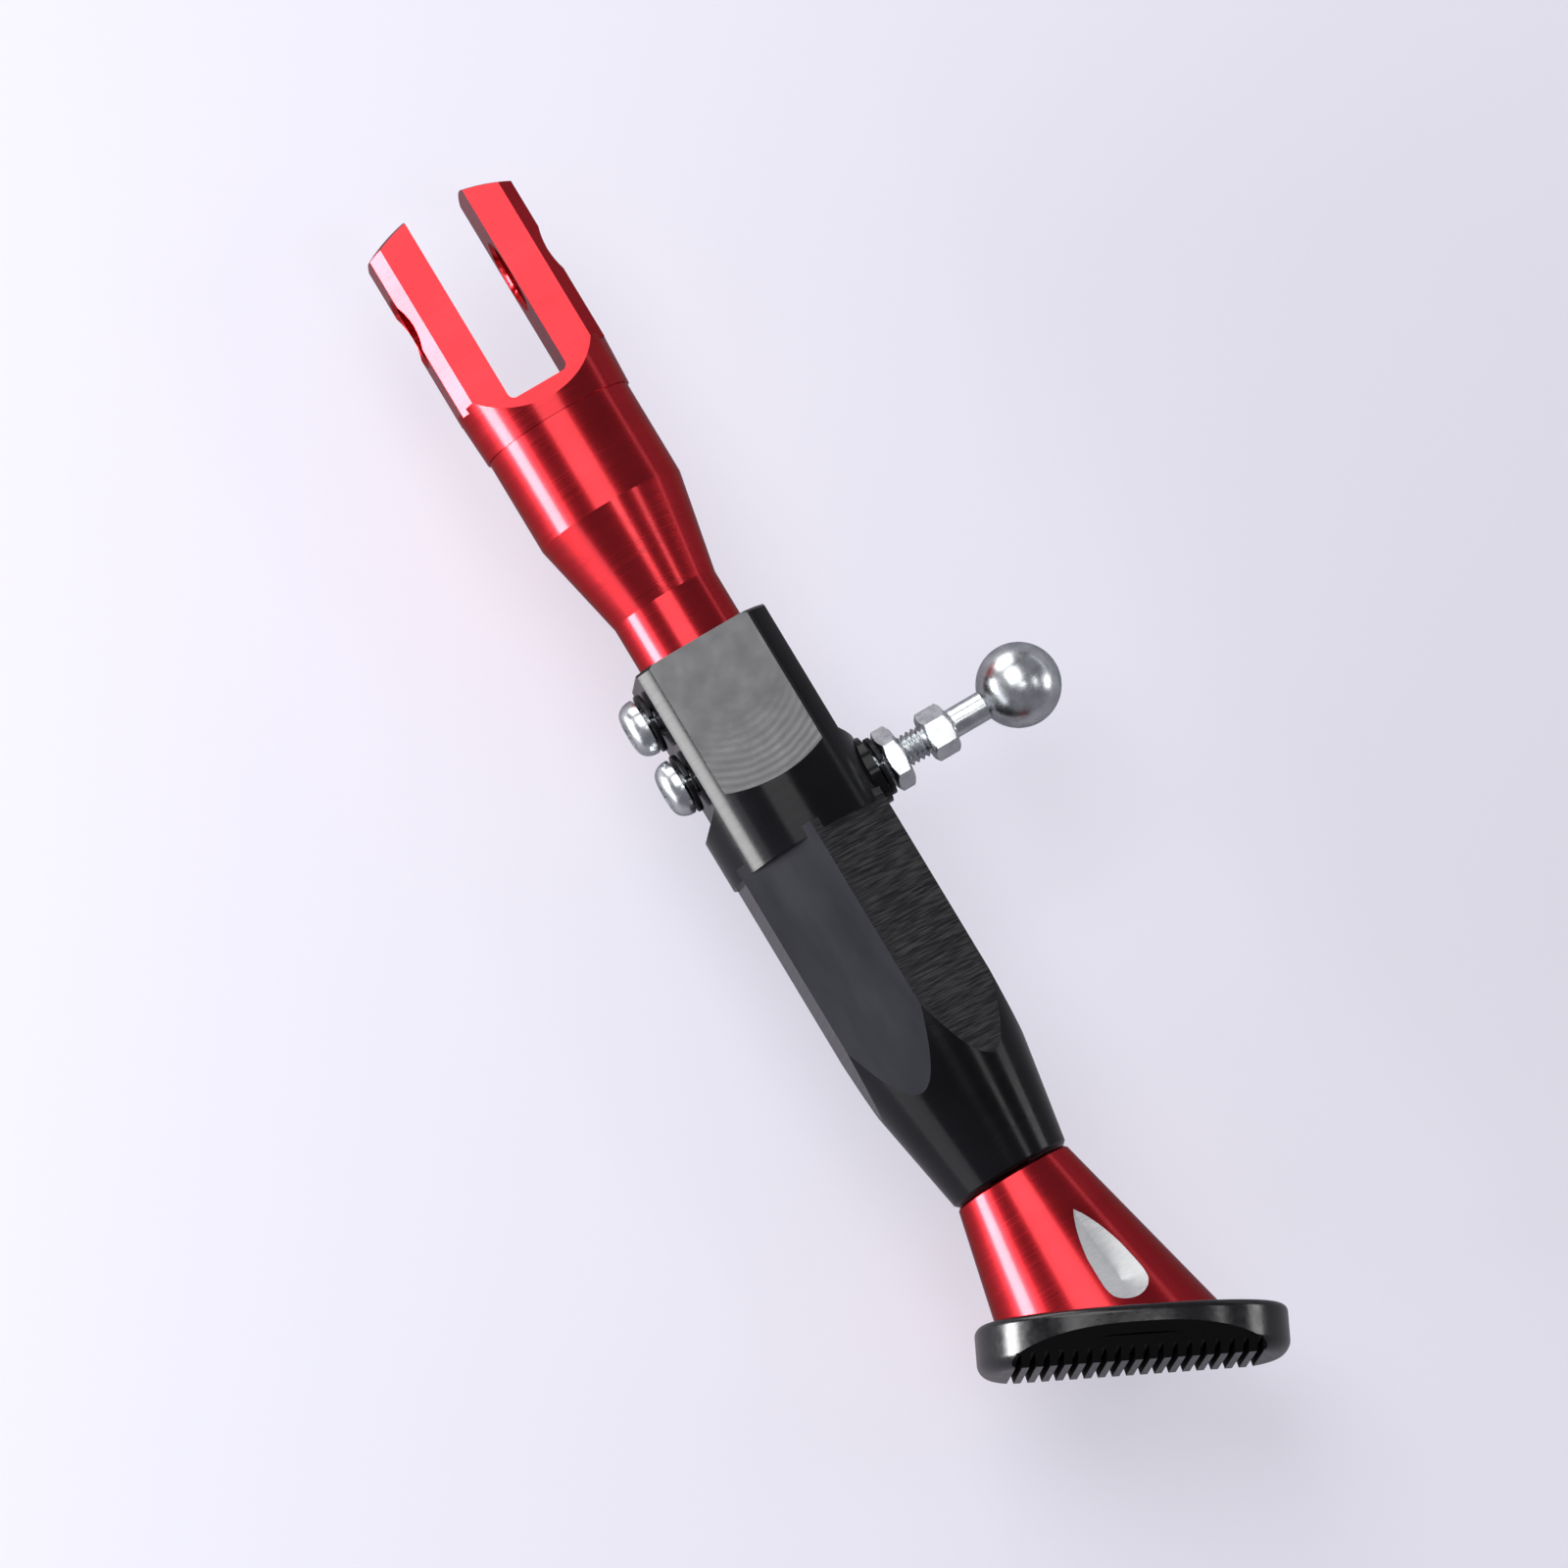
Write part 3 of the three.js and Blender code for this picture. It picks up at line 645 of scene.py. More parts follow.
def rod_x(radius, start, end, distance, material=None):
    profile = [(0, start), (radius, start), (radius, end), (0, end)]
    piece = turned("rod", profile, SMALL, along_x, material)
    piece.data.transform(Matrix.Translation((0, 0, -distance)))
    return piece


def thread_radius(position, angle, radius=M6_R):
    """A single-start thread with small flats on its crests and roots."""
    phase = (position / M6_PITCH - angle / (2 * math.pi)) % 1.0
    height = abs(2 * phase - 1)
    height = min(1.0, max(0.0, (height - 0.12) / 0.76))
    return radius - M6_THREAD_DEPTH * height


# ------------------------------------------------------------------ fork


def ear_block():
    half, deep, c = EAR_WIDTH / 2, EAR_DEPTH / 2, EAR_CHAMFER
    outline = [
        (-half, -deep + c), (-half + c, -deep), (half - c, -deep), (half, -deep + c),
        (half, deep - c), (half - c, deep), (-half + c, deep), (-half, deep - c),
    ]
    matrix = Matrix.Translation((0, 0, -HEAD_BOTTOM + OVERRUN))
    return prism("ears", outline, TIP_ROUND_R + HEAD_BOTTOM, matrix, RED)


def tip_dome():
    edge = HEAD_R + 3 * OVERRUN
    centre = TIP_ROUND_R - TIP_DOME_DROP - TIP_DOME_R
    steps = 40
    profile = []
    for i in range(steps + 1):
        radius = edge * i / steps
        profile.append((radius, centre + math.sqrt(TIP_DOME_R ** 2 - radius ** 2)))
    profile += [(edge, -EAR_BOTTOM - OVERRUN), (0, -EAR_BOTTOM - OVERRUN)]
    return turned("dome", profile, material=RED)


def tip_rounding():
    """Rounds the ear tips about the pivot axis."""
    outline = [(TIP_ROUND_R, -REACH)]
    outline += arc((0, 0), TIP_ROUND_R, 0, 180, 96)
    outline += [(-TIP_ROUND_R, -REACH)]
    turn = Matrix(((0, 0, 1, -REACH), (1, 0, 0, 0), (0, 1, 0, 0), (0, 0, 0, 1)))
    return prism("rounding", outline, 2 * REACH, turn, RED)


def fork_round():
    return turned("fork", down([
        (0, EAR_BOTTOM),
        (HEAD_R, EAR_BOTTOM),
        (HEAD_R, EAR_BOTTOM + EDGE),
        (BODY_R + HEAD_RIM, HEAD_BOTTOM - RIM_STEP),
        (BODY_R, HEAD_BOTTOM),
        (BODY_R, TAPER_TOP),
        (NECK_R, NECK_TOP),
        (NECK_R, SHANK_END - EDGE),
        (NECK_R - EDGE, SHANK_END),
        (0, SHANK_END),
    ]), material=RED)


def slot_cutter():
    half, floor, r = SLOT_WIDTH / 2, -SLOT_BOTTOM, SLOT_CORNER_R
    outline = [(-half, REACH)]
    outline += arc((-half + r, floor + r), r, 180, 270, 18)
    outline += arc((half - r, floor + r), r, 270, 360, 18)
    outline += [(half, REACH)]
    return through_y(outline, REACH / 2, RED)


def pivot_cutter():
    outer, inner, wide, c = EAR_WIDTH / 2, SLOT_WIDTH / 2, PIVOT_R + PIVOT_CHAMFER, PIVOT_CHAMFER
    profile = [
        (0, -outer - 1), (wide, -outer - 1), (wide, -outer), (PIVOT_R, -outer + c),
        (PIVOT_R, -inner - c), (wide, -inner), (wide, inner), (PIVOT_R, inner + c),
        (PIVOT_R, outer - c), (wide, outer), (wide, outer + 1), (0, outer + 1),
    ]
    return turned("pivot", profile, 96, along_x, RED)


def build_fork():
    ears = keep(ear_block(), tip_dome(), tip_rounding())
    fork = fork_round()
    flat_low = (-SHANK_FLAT - 10, -15, -SHANK_FLAT_END)
    flat_high = (-SHANK_FLAT, 15, -SHANK_FLAT_TOP)
    cut(fork, runout(RUNOUT_R, RUNOUT_END, EAR_DEPTH / 2, -1, RED))
    cut(fork, runout(RUNOUT_R, RUNOUT_END, EAR_DEPTH / 2, 1, RED))
    cut(fork, block("flat", flat_low, flat_high, RED))
    join(fork, ears)
    cut(fork, slot_cutter(), pivot_cutter())
    break_edges(fork, FORK_EDGE)
    fork.name = "fork_bar"
    return deliver(fork, "fork", "fork")


# ------------------------------------------------------------------ leg


def side_flat(flat, end, sign, material):
    ramp = SLEEVE_R - flat + 1
    outline = [
        (flat, -SLEEVE_TOP + 1), (flat + 10, -SLEEVE_TOP + 1), (flat + 10, -end - ramp),
        (flat + ramp, -end - ramp), (flat, -end),
    ]
    return through_y([(sign * x, z) for x, z in outline], REACH / 2, material)


def hexagon_bar():
    """The hexagon, tapered to the foot. Its right-hand faces carry marks of the cutter with
    painted glints on the marks, and its smooth faces are painted lighter and bluer as painted
    sheen.
    """
    length = LEG_BOTTOM - COLLAR_BOTTOM + 2
    matrix = Matrix.Translation((0, 0, -LEG_BOTTOM))
    bar = prism("hexagon", hexagon(HEX_ACROSS_FLATS, math.pi / 2), length, matrix, BLACK)
    bar.data.materials.append(BLACK_MILLED_GLINTS)
    bar.data.materials.append(BLACK_SATIN_PAINTED_SHEEN)
    for polygon in bar.data.polygons:
        across = polygon.normal.x * polygon.normal.y
        if abs(across) > 0.2:
            polygon.material_index = 1 if across < 0 else 2
    top_r = LEG_END_R + LEG_TAPER * length
    cone = turned("cone", down([
        (0, LEG_BOTTOM - length),
        (top_r, LEG_BOTTOM - length),
        (LEG_END_R + 0.1, LEG_BOTTOM - 0.5),
        (LEG_END_R - 0.4, LEG_BOTTOM),
        (0, LEG_BOTTOM),
    ]), material=BLACK)
    return keep(bar, cone)


def bore():
    return turned("bore", down([
        (0, SLEEVE_TOP - OVERRUN),
        (BORE_R + EDGE, SLEEVE_TOP - OVERRUN),
        (BORE_R + EDGE, SLEEVE_TOP),
        (BORE_R, SLEEVE_TOP + EDGE),
        (BORE_R, BORE_END),
        (0, BORE_END + BORE_POINT),
    ]), material=BLACK)


def foot_thread():
    hole = M8_R + THREAD_GAP
    return turned("foot_thread", down([
        (0, LEG_BOTTOM - FOOT_THREAD_DEPTH - THREAD_POINT),
        (hole, LEG_BOTTOM - FOOT_THREAD_DEPTH),
        (hole, LEG_BOTTOM + OVERRUN),
        (0, LEG_BOTTOM + OVERRUN),
    ]), SMALL, material=BLACK)


def build_leg():
    leg = turned("leg", down([
        (0, SLEEVE_TOP),
        (SLEEVE_R - EDGE, SLEEVE_TOP),
        (SLEEVE_R, SLEEVE_TOP + EDGE),
        (SLEEVE_R, COLLAR_BOTTOM),
        (0, COLLAR_BOTTOM),
    ]), material=BLACK)
    stud_level = -(STUD_LOW.z + STUD_HIGH.z) / 2
    join(leg, rod_x(BOSS_R, 0, BOSS_FACE, stud_level, BLACK))
    for sign in (-1, 1):
        cut(leg, runout(FRONT_RUNOUT_R, FRONT_FLAT_END, FRONT_FLAT, sign, BLACK_FLAT_PAINTED_SHEEN))
    cut(leg, side_flat(SCREW_FLAT, SCREW_FLAT_END, -1, BLACK))
    cut(leg, side_flat(STUD_FLAT, STUD_FLAT_END, 1, BLACK))
    join(leg, hexagon_bar())
    cut(leg, bore(), foot_thread())
    hole = M6_R + THREAD_GAP
    for low, high in ((UPPER_LOW, UPPER_HIGH), (LOWER_LOW, LOWER_HIGH)):
        cut(leg, rod_x(hole, -SLEEVE_R - OVERRUN, 0, -(low.z + high.z) / 2, BLACK))
    cut(leg, rod_x(hole, 0, BOSS_FACE + OVERRUN, stud_level, BLACK))
    break_edges(leg, LEG_EDGE)
    leg.name = "leg_bar"
    return deliver(leg, "leg", "leg_body")


# ------------------------------------------------------------------ fasteners


def steps(start, end, size):
    count = max(1, round((end - start) / size))
    return [start + (end - start) * i / count for i in range(count + 1)]


def build_screw(name, low, high):
    """A button-head screw along x, its head at the low end."""
    level = -(low.z + high.z) / 2
    head_top = low.x
    seat = head_top + BUTTON_HEIGHT
    dome_steps = 14
    stations = [("plain", head_top, 0.0)]
    for i in range(dome_steps + 1):
        angle = math.pi / 2 * i / dome_steps
        radius = BUTTON_TOP_R + (BUTTON_R - BUTTON_TOP_R) * math.sin(angle)
        height = BUTTON_RIM + (BUTTON_HEIGHT - BUTTON_RIM) * math.cos(angle)
        stations.append(("plain", seat - height, radius))
    stations.append(("plain", seat - BUTTON_EDGE, BUTTON_R))
    stations += [("plain", seat, BUTTON_R - BUTTON_EDGE), ("plain", seat, M6_R)]
    thread = steps(seat + 0.4, high.x - SCREW_POINT, THREAD_STEP)
    stations += [("thread", x, M6_R) for x in thread]
    stations += [("plain", high.x, M6_R - SCREW_POINT), ("plain", high.x, 0.0)]

    def radius_at(station, angle):
        kind, x, radius = station
        return thread_radius(x, angle, radius) if kind == "thread" else radius

    screw = rings(name, stations, radius_at, SMALL, along_x, ZINC)
    outwards(screw)
    turn = Matrix(((0, 0, 1, head_top - 1), (1, 0, 0, 0), (0, 1, 0, 0), (0, 0, 0, 1)))
    cut(screw, prism("socket", hexagon(BUTTON_SOCKET, 0), BUTTON_SOCKET_DEPTH + 1, turn, ZINC))
    screw.data.transform(Matrix.Translation((0, 0, -level)))
    return screw


def build_washer(name, low, high):
    """A split spring washer about x. Its ends step apart along the axis at the slit."""
    level = -(low.z + high.z) / 2
    outer = (high.y - low.y) / 2
    middle = (low.x + high.x) / 2
    half_thick = (high.x - low.x) / 2 - WASHER_TWIST
    half_slit = math.asin(WASHER_SLIT / 2 / outer)
    r = WASHER_CORNER_R
    section = []
    corners = ((outer - r, half_thick - r, 0), (WASHER_INNER + r, half_thick - r, 90),
               (WASHER_INNER + r, -half_thick + r, 180), (outer - r, -half_thick + r, 270))
    for radius, x, start in corners:
        section += arc((radius, x), r, start, start + 90, 3)
    count = len(section)
    turns = 120
    points, faces = [], []
    for i in range(turns + 1):
        share = i / turns
        angle = math.pi + half_slit + share * 2 * (math.pi - half_slit)
        shift = WASHER_TWIST * (2 * share - 1)
        for radius, x in section:
            y, z = radius * math.cos(angle), radius * math.sin(angle)
            points.append((middle + x + shift, y, z - level))
    for i in range(turns):
        for k in range(count):
            n = (k + 1) % count
            faces.append([i * count + k, i * count + n, (i + 1) * count + n, (i + 1) * count + k])
    faces.append(list(range(count))[::-1])
    faces.append([turns * count + k for k in range(count)])
    washer = make(name, points, faces, OXIDE)
    outwards(washer)
    return washer


def build_nut():
    """A thin hexagon nut about x, its corners rounded off by a cone at each face."""
    low, high = NUT_LOW.x, NUT_HIGH.x
    level = -(NUT_LOW.z + NUT_HIGH.z) / 2
    flat = NUT_ACROSS_FLATS / 2
    slope = math.tan(math.radians(60))
    inner = M6_R + NUT_BORE_GAP
    narrow = inner - NUT_COUNTERSINK
    stations = [(None, low + 0.35, narrow), (None, low, inner)]
    stations += [("hex", x, 0.0) for x in steps(low, high, HEX_STEP)]
    stations += [(None, high, inner), (None, high - 0.35, narrow)]

    def radius_at(station, angle):
        kind, x, radius = station
        if kind is None:
            return radius
        rounding = flat - 0.15 + slope * min(x - low, high - x)
        return min(hex_radius(NUT_ACROSS_FLATS, angle, HEX_TURN), rounding)

    count = HEX_SEGMENTS
    nut = rings("nut", stations, radius_at, count, along_x, ZINC, HEX_TURN)
    last = len(nut.data.vertices) - count
    bridge = [[i, last + i, last + (i + 1) % count, (i + 1) % count] for i in range(count)]
    points = [v.co.copy() for v in nut.data.vertices]
    faces = [list(p.vertices) for p in nut.data.polygons] + bridge
    bpy.data.objects.remove(nut, do_unlink=True)
    nut = make("nut", points, faces, ZINC)
    outwards(nut)
    nut.data.transform(Matrix.Translation((0, 0, -level)))
    return nut


def build_stud():
    """Threaded end, hexagon, neck and ball, all turned on one axis along x."""
    level = -(STUD_LOW.z + STUD_HIGH.z) / 2
    ball_r = (STUD_HIGH.y - STUD_LOW.y) / 2
    ball_x = STUD_HIGH.x - ball_r
    start = math.asin(STUD_NECK_R / ball_r)
    meets = ball_x - ball_r * math.cos(start)
    flat = STUD_HEX_ACROSS_FLATS / 2
    stations = [("plain", STUD_LOW.x, 0.0), ("plain", STUD_LOW.x, M6_R - SCREW_POINT)]
    thread = steps(STUD_LOW.x + SCREW_POINT, STUD_HEX_START - 0.5, THREAD_STEP)
    stations += [("thread", x, M6_R) for x in thread]
    relief = M6_R - STUD_RELIEF
    stations += [("plain", STUD_HEX_START - 0.3, relief), ("plain", STUD_HEX_START, relief)]
    stations += [("hex", x, 0.0) for x in steps(STUD_HEX_START, STUD_HEX_END, HEX_STEP)]
    fillet = STUD_NECK_FILLET
    for point in arc((STUD_HEX_END + fillet, STUD_NECK_R + fillet), fillet, 180, 270, 6):
        stations.append(("plain", point[0], point[1]))
    neck = steps(STUD_HEX_END + fillet + 0.1, meets - 0.15, 1.0)
    stations += [("plain", x, STUD_NECK_R) for x in neck]
    ball_steps = 72
    for i in range(ball_steps + 1):
        angle = start + (math.pi - start) * i / ball_steps
        radius = 0.0 if i == ball_steps else ball_r * math.sin(angle)
        stations.append(("plain", ball_x - ball_r * math.cos(angle), radius))

    def radius_at(station, angle):
        kind, x, radius = station
        if kind == "thread":
            return thread_radius(x, angle, radius)
        if kind == "hex":
            rounding = flat - 0.1 + 1.4 * min(x - STUD_HEX_START, STUD_HEX_END - x)
            return min(hex_radius(STUD_HEX_ACROSS_FLATS, angle, HEX_TURN), rounding)
        return radius

    stud = rings("stud", stations, radius_at, HEX_SEGMENTS, along_x, ZINC, HEX_TURN)
    outwards(stud)
    stud.data.transform(Matrix.Translation((0, 0, -level)))
    return stud


def build_fasteners():
    for place, low, high in (("upper", UPPER_LOW, UPPER_HIGH), ("lower", LOWER_LOW, LOWER_HIGH)):
        body = f"{place}_screw"
        screw = build_screw(f"button_screw_{place}", low, high)
        deliver(screw, body, f"clamp_screw_{place}")
        ring = build_washer(f"split_washer_{place}", *span(f"clamp_washer_{place}"))
        deliver(ring, body, f"clamp_washer_{place}")
    ring = build_washer("split_washer_stud", RING_LOW, RING_HIGH)
    deliver(ring, "nut", "stud_washer")
    nut = build_nut()
    nut.name = "thin_nut"
    deliver(nut, "nut", "jam_nut")
    stud = build_stud()
    stud.name = "kick_stud"
    deliver(stud, "stud", "ball_stud")


# ------------------------------------------------------------------ foot and pad
# The pad's own frame: z = 0 is its top face, x runs along it, and the leg axis crosses its
# origin. It is level in the row frame.

PAD_TOP = PAD_HIGH.z / MM
PAD_ORIGIN_X = -PAD_TOP * math.tan(LEAN)
PAD_CENTRE = (PAD_LOW.x + PAD_HIGH.x) / 2 / MM - PAD_ORIGIN_X
PAD_TO_ROW = Matrix.Translation((PAD_ORIGIN_X * MM, 0, PAD_HIGH.z)) @ Matrix.Scale(MM, 4)
PAD_TO_LEG = TO_LEG @ PAD_TO_ROW


def pad_ring(inset, height, segments):
    half_length = PAD_LENGTH / 2 - inset
    half_width = PAD_WIDTH / 2 - inset
    power = 2 / PAD_SQUARENESS
    ring = []
    for i in range(segments):
        angle = 2 * math.pi * i / segments
        c, s = math.cos(angle), math.sin(angle)
        x = PAD_CENTRE + half_length * math.copysign(abs(c) ** power, c)
        y = half_width * math.copysign(abs(s) ** power, s)
        ring.append((x, y, height))
    return ring


def lofted(name, levels, material, segments=ROUND):
    """A closed body through pad outlines, each (pulled in by, height)."""
    points, faces = [], []
    for inset, height in levels:
        points += pad_ring(inset, height, segments)
    for level in range(len(levels) - 1):
        for i in range(segments):
            j = (i + 1) % segments
            a, b = level * segments, (level + 1) * segments
            faces.append([a + i, a + j, b + j, b + i])
    last = (len(levels) - 1) * segments
    faces.append(list(range(segments))[::-1])
    faces.append([last + i for i in range(segments)])
    piece = make(name, points, faces, material)
    outwards(piece)
    return piece


def flange(grow, material):
    low = -PAD_LIP - FLANGE_THICK - grow
    high = -PAD_LIP + grow
    return lofted("flange", [(FLANGE_MARGIN - grow, low), (FLANGE_MARGIN - grow, high)], material)


def above_pad(depth, material):
    piece = block("above", (-REACH * 2, -REACH, -depth), (REACH * 2, REACH, 2 * REACH), material)
    piece.data.transform(PAD_TO_LEG)
    return piece


def foot_cone(grow, material):
    end = LEG_BOTTOM + 60
    return turned("foot", down([
        (0, FOOT_TOP),
        (FOOT_TOP_R - EDGE + grow, FOOT_TOP),
        (FOOT_TOP_R + grow, FOOT_TOP + EDGE),
        (FOOT_TOP_R + FOOT_TAPER * (end - FOOT_TOP) + grow, end),
        (0, end),
    ]), material=material)


def tear(back):
    """A tear-shaped V cut: its sides fall to a crease from the tip to a point in the round end."""
    middle = (TEAR_TOP + TEAR_BOTTOM) / 2
    point = middle - TEAR_TOP
    centre = -(TEAR_BOTTOM - TEAR_R - middle)
    curve = 16
    left = []
    for i in range(curve):
        t = i / curve
        x = -2 * (1 - t) * t * TEAR_R * TEAR_WAIST - t * t * TEAR_R
        y = (1 - t) ** 2 * point + 2 * (1 - t) * t * point / 2 + t * t * centre
        left.append((x, y))
    outline = left + arc((0, centre), TEAR_R, 180, 360, 40)
    outline += [(-x, y) for x, y in left[:0:-1]]
    count = len(outline)
    height = 5.0
    points = [(x, y, height) for x, y in outline] + [(x, y, 0) for x, y in outline]
    points.append((0, centre, -TEAR_DEPTH))
    faces = [list(range(count))]
    for i in range(count):
        j = (i + 1) % count
        faces.append([i, i + count, j + count, j])
        faces.append([i + count, 2 * count, j + count])
    cutter = make("tear", points, faces, BARE)
    outwards(cutter)
    slope = math.atan(FOOT_TAPER)
    surface = FOOT_TOP_R + FOOT_TAPER * (middle - LEG_BOTTOM)
    sink = TEAR_R ** 2 / (2 * surface) * 0.9
    azimuth = math.pi - TEAR_AZIMUTH if back else TEAR_AZIMUTH
    cutter.data.transform(
        Matrix.Rotation(azimuth, 4, "Z")
        @ Matrix.Translation((0, -surface + sink, -middle))
        @ Matrix.Rotation(math.pi / 2 - slope, 4, "X")
    )
    return cutter


def build_foot():
    foot = keep(foot_cone(0, RED), above_pad(PAD_LIP + EDGE, RED))
    plate = flange(0, RED)
    plate.data.transform(PAD_TO_LEG)
    join(foot, plate)
    hole, deep = M8_R + THREAD_GAP, -FOOT_LOW.z + 20
    cut(foot, turned("bolt_hole", down([
        (0, LEG_BOTTOM - 1), (hole, LEG_BOTTOM - 1), (hole, BOLT_SEAT),
        (BOLT_HEAD_R + EDGE, BOLT_SEAT), (BOLT_HEAD_R + EDGE, deep), (0, deep),
    ]), SMALL, material=RED))
    cut(foot, tear(False), tear(True))
    break_edges(foot, FOOT_EDGE)
    foot.name = "foot_cone"
    return deliver(foot, "foot", "foot")


def sole_bevel(sign):
    edge, floor = PAD_WIDTH / 2, -PAD_HEIGHT
    rise = BEVEL_RISE * (BEVEL_RUN + 5) / BEVEL_RUN
    outline = [
        (sign * (edge - BEVEL_RUN), floor), (sign * (edge - BEVEL_RUN), floor - 1),
        (sign * (edge + 5), floor - 1), (sign * (edge + 5), floor + rise),
    ]
    turn = Matrix(((0, 0, 1, -REACH), (1, 0, 0, 0), (0, 1, 0, 0), (0, 0, 0, 1)))
    return prism("bevel", outline, 2 * REACH, turn, SOLE)


def groove(x):
    """One groove across the sole, with walls that lean out a little towards the ground."""
    floor, top = -PAD_HEIGHT - 1, -PAD_HEIGHT + GROOVE_DEPTH
    wide = GROOVE_WIDTH / 2 + GROOVE_OPEN
    narrow = GROOVE_WIDTH / 2 - GROOVE_CLOSE
    outline = [(x - wide, floor), (x + wide, floor), (x + narrow, top), (x - narrow, top)]
    return through_y(outline, PAD_WIDTH / 2 + 2, SOLE)


def wall_levels():
    """The pad's side wall: rounded at the floor and at the top edge."""
    levels = []
    centre_low = (PAD_FLOOR_R, -PAD_HEIGHT + PAD_FLOOR_R)
    centre_high = (PAD_TOP_R, -PAD_TOP_R)
    levels += arc(centre_low, PAD_FLOOR_R, 270, 180, 16)
    levels += arc(centre_high, PAD_TOP_R, 180, 90, 14)
    return levels


def build_pad():
    pad = lofted("pad", wall_levels(), RUBBER)
    cut(pad, sole_bevel(1), sole_bevel(-1))
    count = int((PAD_LENGTH - RIB_END_MARGIN) // RIB_PITCH)
    for i in range(count):
        cut(pad, groove(PAD_CENTRE + (i - (count - 1) / 2) * RIB_PITCH))
    cut(pad, flange(GAP, RUBBER))
    mouth = keep(foot_cone(GAP, RUBBER), above_pad(PAD_LIP + GAP, RUBBER))
    mouth.data.transform(PAD_TO_LEG.inverted())
    cut(pad, mouth)
    break_edges(pad, PAD_EDGE)
    pad.data.transform(PAD_TO_ROW)
    pad.name = "rubber_shoe"
    return deliver(pad, "foot", "pad", placed=True)


# ------------------------------------------------------------------ hidden CAD nodes


def finish_hidden_nodes():
    """The bolt and washer inside the foot keep their CAD shape and get the oxide finish."""
    for node in ("foot_bolt", "foot_washer"):
        piece = frame["nodes"][node]
        piece.data.materials.clear()
        piece.data.materials.append(OXIDE)


# ------------------------------------------------------------------ stage, light, camera

IMAGE_ANGLE = math.radians(31.06)
CAMERA_YAW = math.radians(6.5)
CAMERA_DROP = math.radians(6.0)
CAMERA_DISTANCE = 2.5
VIEW_WIDTH = 0.2679
VIEW_DOWN = 99.5
VIEW_RIGHT = 1.3
FLOOR_CLEARANCE = 0.003
FLOOR_HALF = 1.2
FLOOR_GLOW = 0.41
FLOOR_SEEN = (0.60, 0.59, 0.655, 1)
FLOOR_MIRRORED = (0.40, 0.39, 0.43, 1)
PALE = (0.80, 0.79, 0.88, 1)
SURROUNDINGS = (0.16, 0.16, 0.18, 1)
WHITE = (1.0, 1.0, 1.0)
COOL = (0.93, 0.94, 1.0)

# name, azimuth, elevation, distance, width, height, radiance, tint
PANELS = (
    ("front_panel", -5, 24, 0.9, 0.60, 0.66, 2.3, WHITE),
    ("left_strip", -84, 20, 0.7, 0.24, 0.46, 21.0, WHITE),
    ("left_low", -84, -19, 0.7, 0.24, 0.32, 1.3, WHITE),
    ("left_panel", -67, 6, 0.8, 0.22, 1.0, 1.4, COOL),
    ("head_panel", -8, 78, 0.8, 0.6, 0.6, 2.2, WHITE),
    ("low_strip", 41, -17, 0.9, 0.11, 0.26, 2.6, WHITE),
    ("right_strip", 84, 4, 0.8, 0.08, 1.0, 0.9, COOL),
    ("stud_front", 6, -10, 0.9, 0.16, 0.11, 5.0, WHITE),
    ("pad_right", 79, -24, 0.84, 0.22, 0.30, 3.5, WHITE),
    ("back_panel", 180, 20, 0.9, 0.8, 0.8, 1.6, WHITE),
    ("back_strip", 130, 10, 0.8, 0.2, 0.9, 5.0, WHITE),
)


def leg_direction(azimuth, elevation):
    """A direction in the row frame: azimuth from the front towards +x, elevation up the leg."""
    a, e = math.radians(azimuth), math.radians(elevation)
    local = Vector((math.sin(a) * math.cos(e), -math.cos(a) * math.cos(e), math.sin(e)))
    return (TO_ROW.to_3x3() @ local).normalized()


def aim(obj, place, target, up):
    """Points an object's -z at the target, with its y near `up`."""
    forward = (target - place).normalized()
    right = forward.cross(up).normalized()
    true_up = right.cross(forward)
    turn = Matrix((right, true_up, -forward)).transposed()
    obj.matrix_world = Matrix.Translation(place) @ turn.to_4x4()


def panel(name, azimuth, elevation, distance, width, height, radiance, tint):
    """A soft box that lights the middle of the leg, long side along the leg."""
    light = bpy.data.lights.new(name, "AREA")
    light.shape = "RECTANGLE"
    light.size = width
    light.size_y = height
    light.energy = radiance * math.pi * width * height
    light.color = tint
    obj = bpy.data.objects.new(name, light)
    bpy.context.scene.collection.objects.link(obj)
    middle = TO_ROW @ Vector((0, 0, -VIEW_DOWN))
    aim(obj, middle + leg_direction(azimuth, elevation) * distance, middle, leg_direction(0, 90))
    obj.visible_camera = False


def add_lights():
    for row in PANELS:
        panel(*row)


def add_world():
    """Dim surroundings for the metal to mirror, and a pale ground wherever the floor ends."""
    world = bpy.data.worlds.new("studio")
    bpy.context.scene.world = world
    world.use_nodes = True
    nodes, links = world.node_tree.nodes, world.node_tree.links
    nodes.clear()
    seen = nodes.new("ShaderNodeBackground")
    seen.inputs["Color"].default_value = PALE
    around = nodes.new("ShaderNodeBackground")
    around.inputs["Color"].default_value = SURROUNDINGS
    path = nodes.new("ShaderNodeLightPath")
    mix = nodes.new("ShaderNodeMixShader")
    output = nodes.new("ShaderNodeOutputWorld")
    links.new(path.outputs["Is Camera Ray"], mix.inputs["Fac"])
    links.new(around.outputs["Background"], mix.inputs[1])
    links.new(seen.outputs["Background"], mix.inputs[2])
    links.new(mix.outputs["Shader"], output.inputs["Surface"])


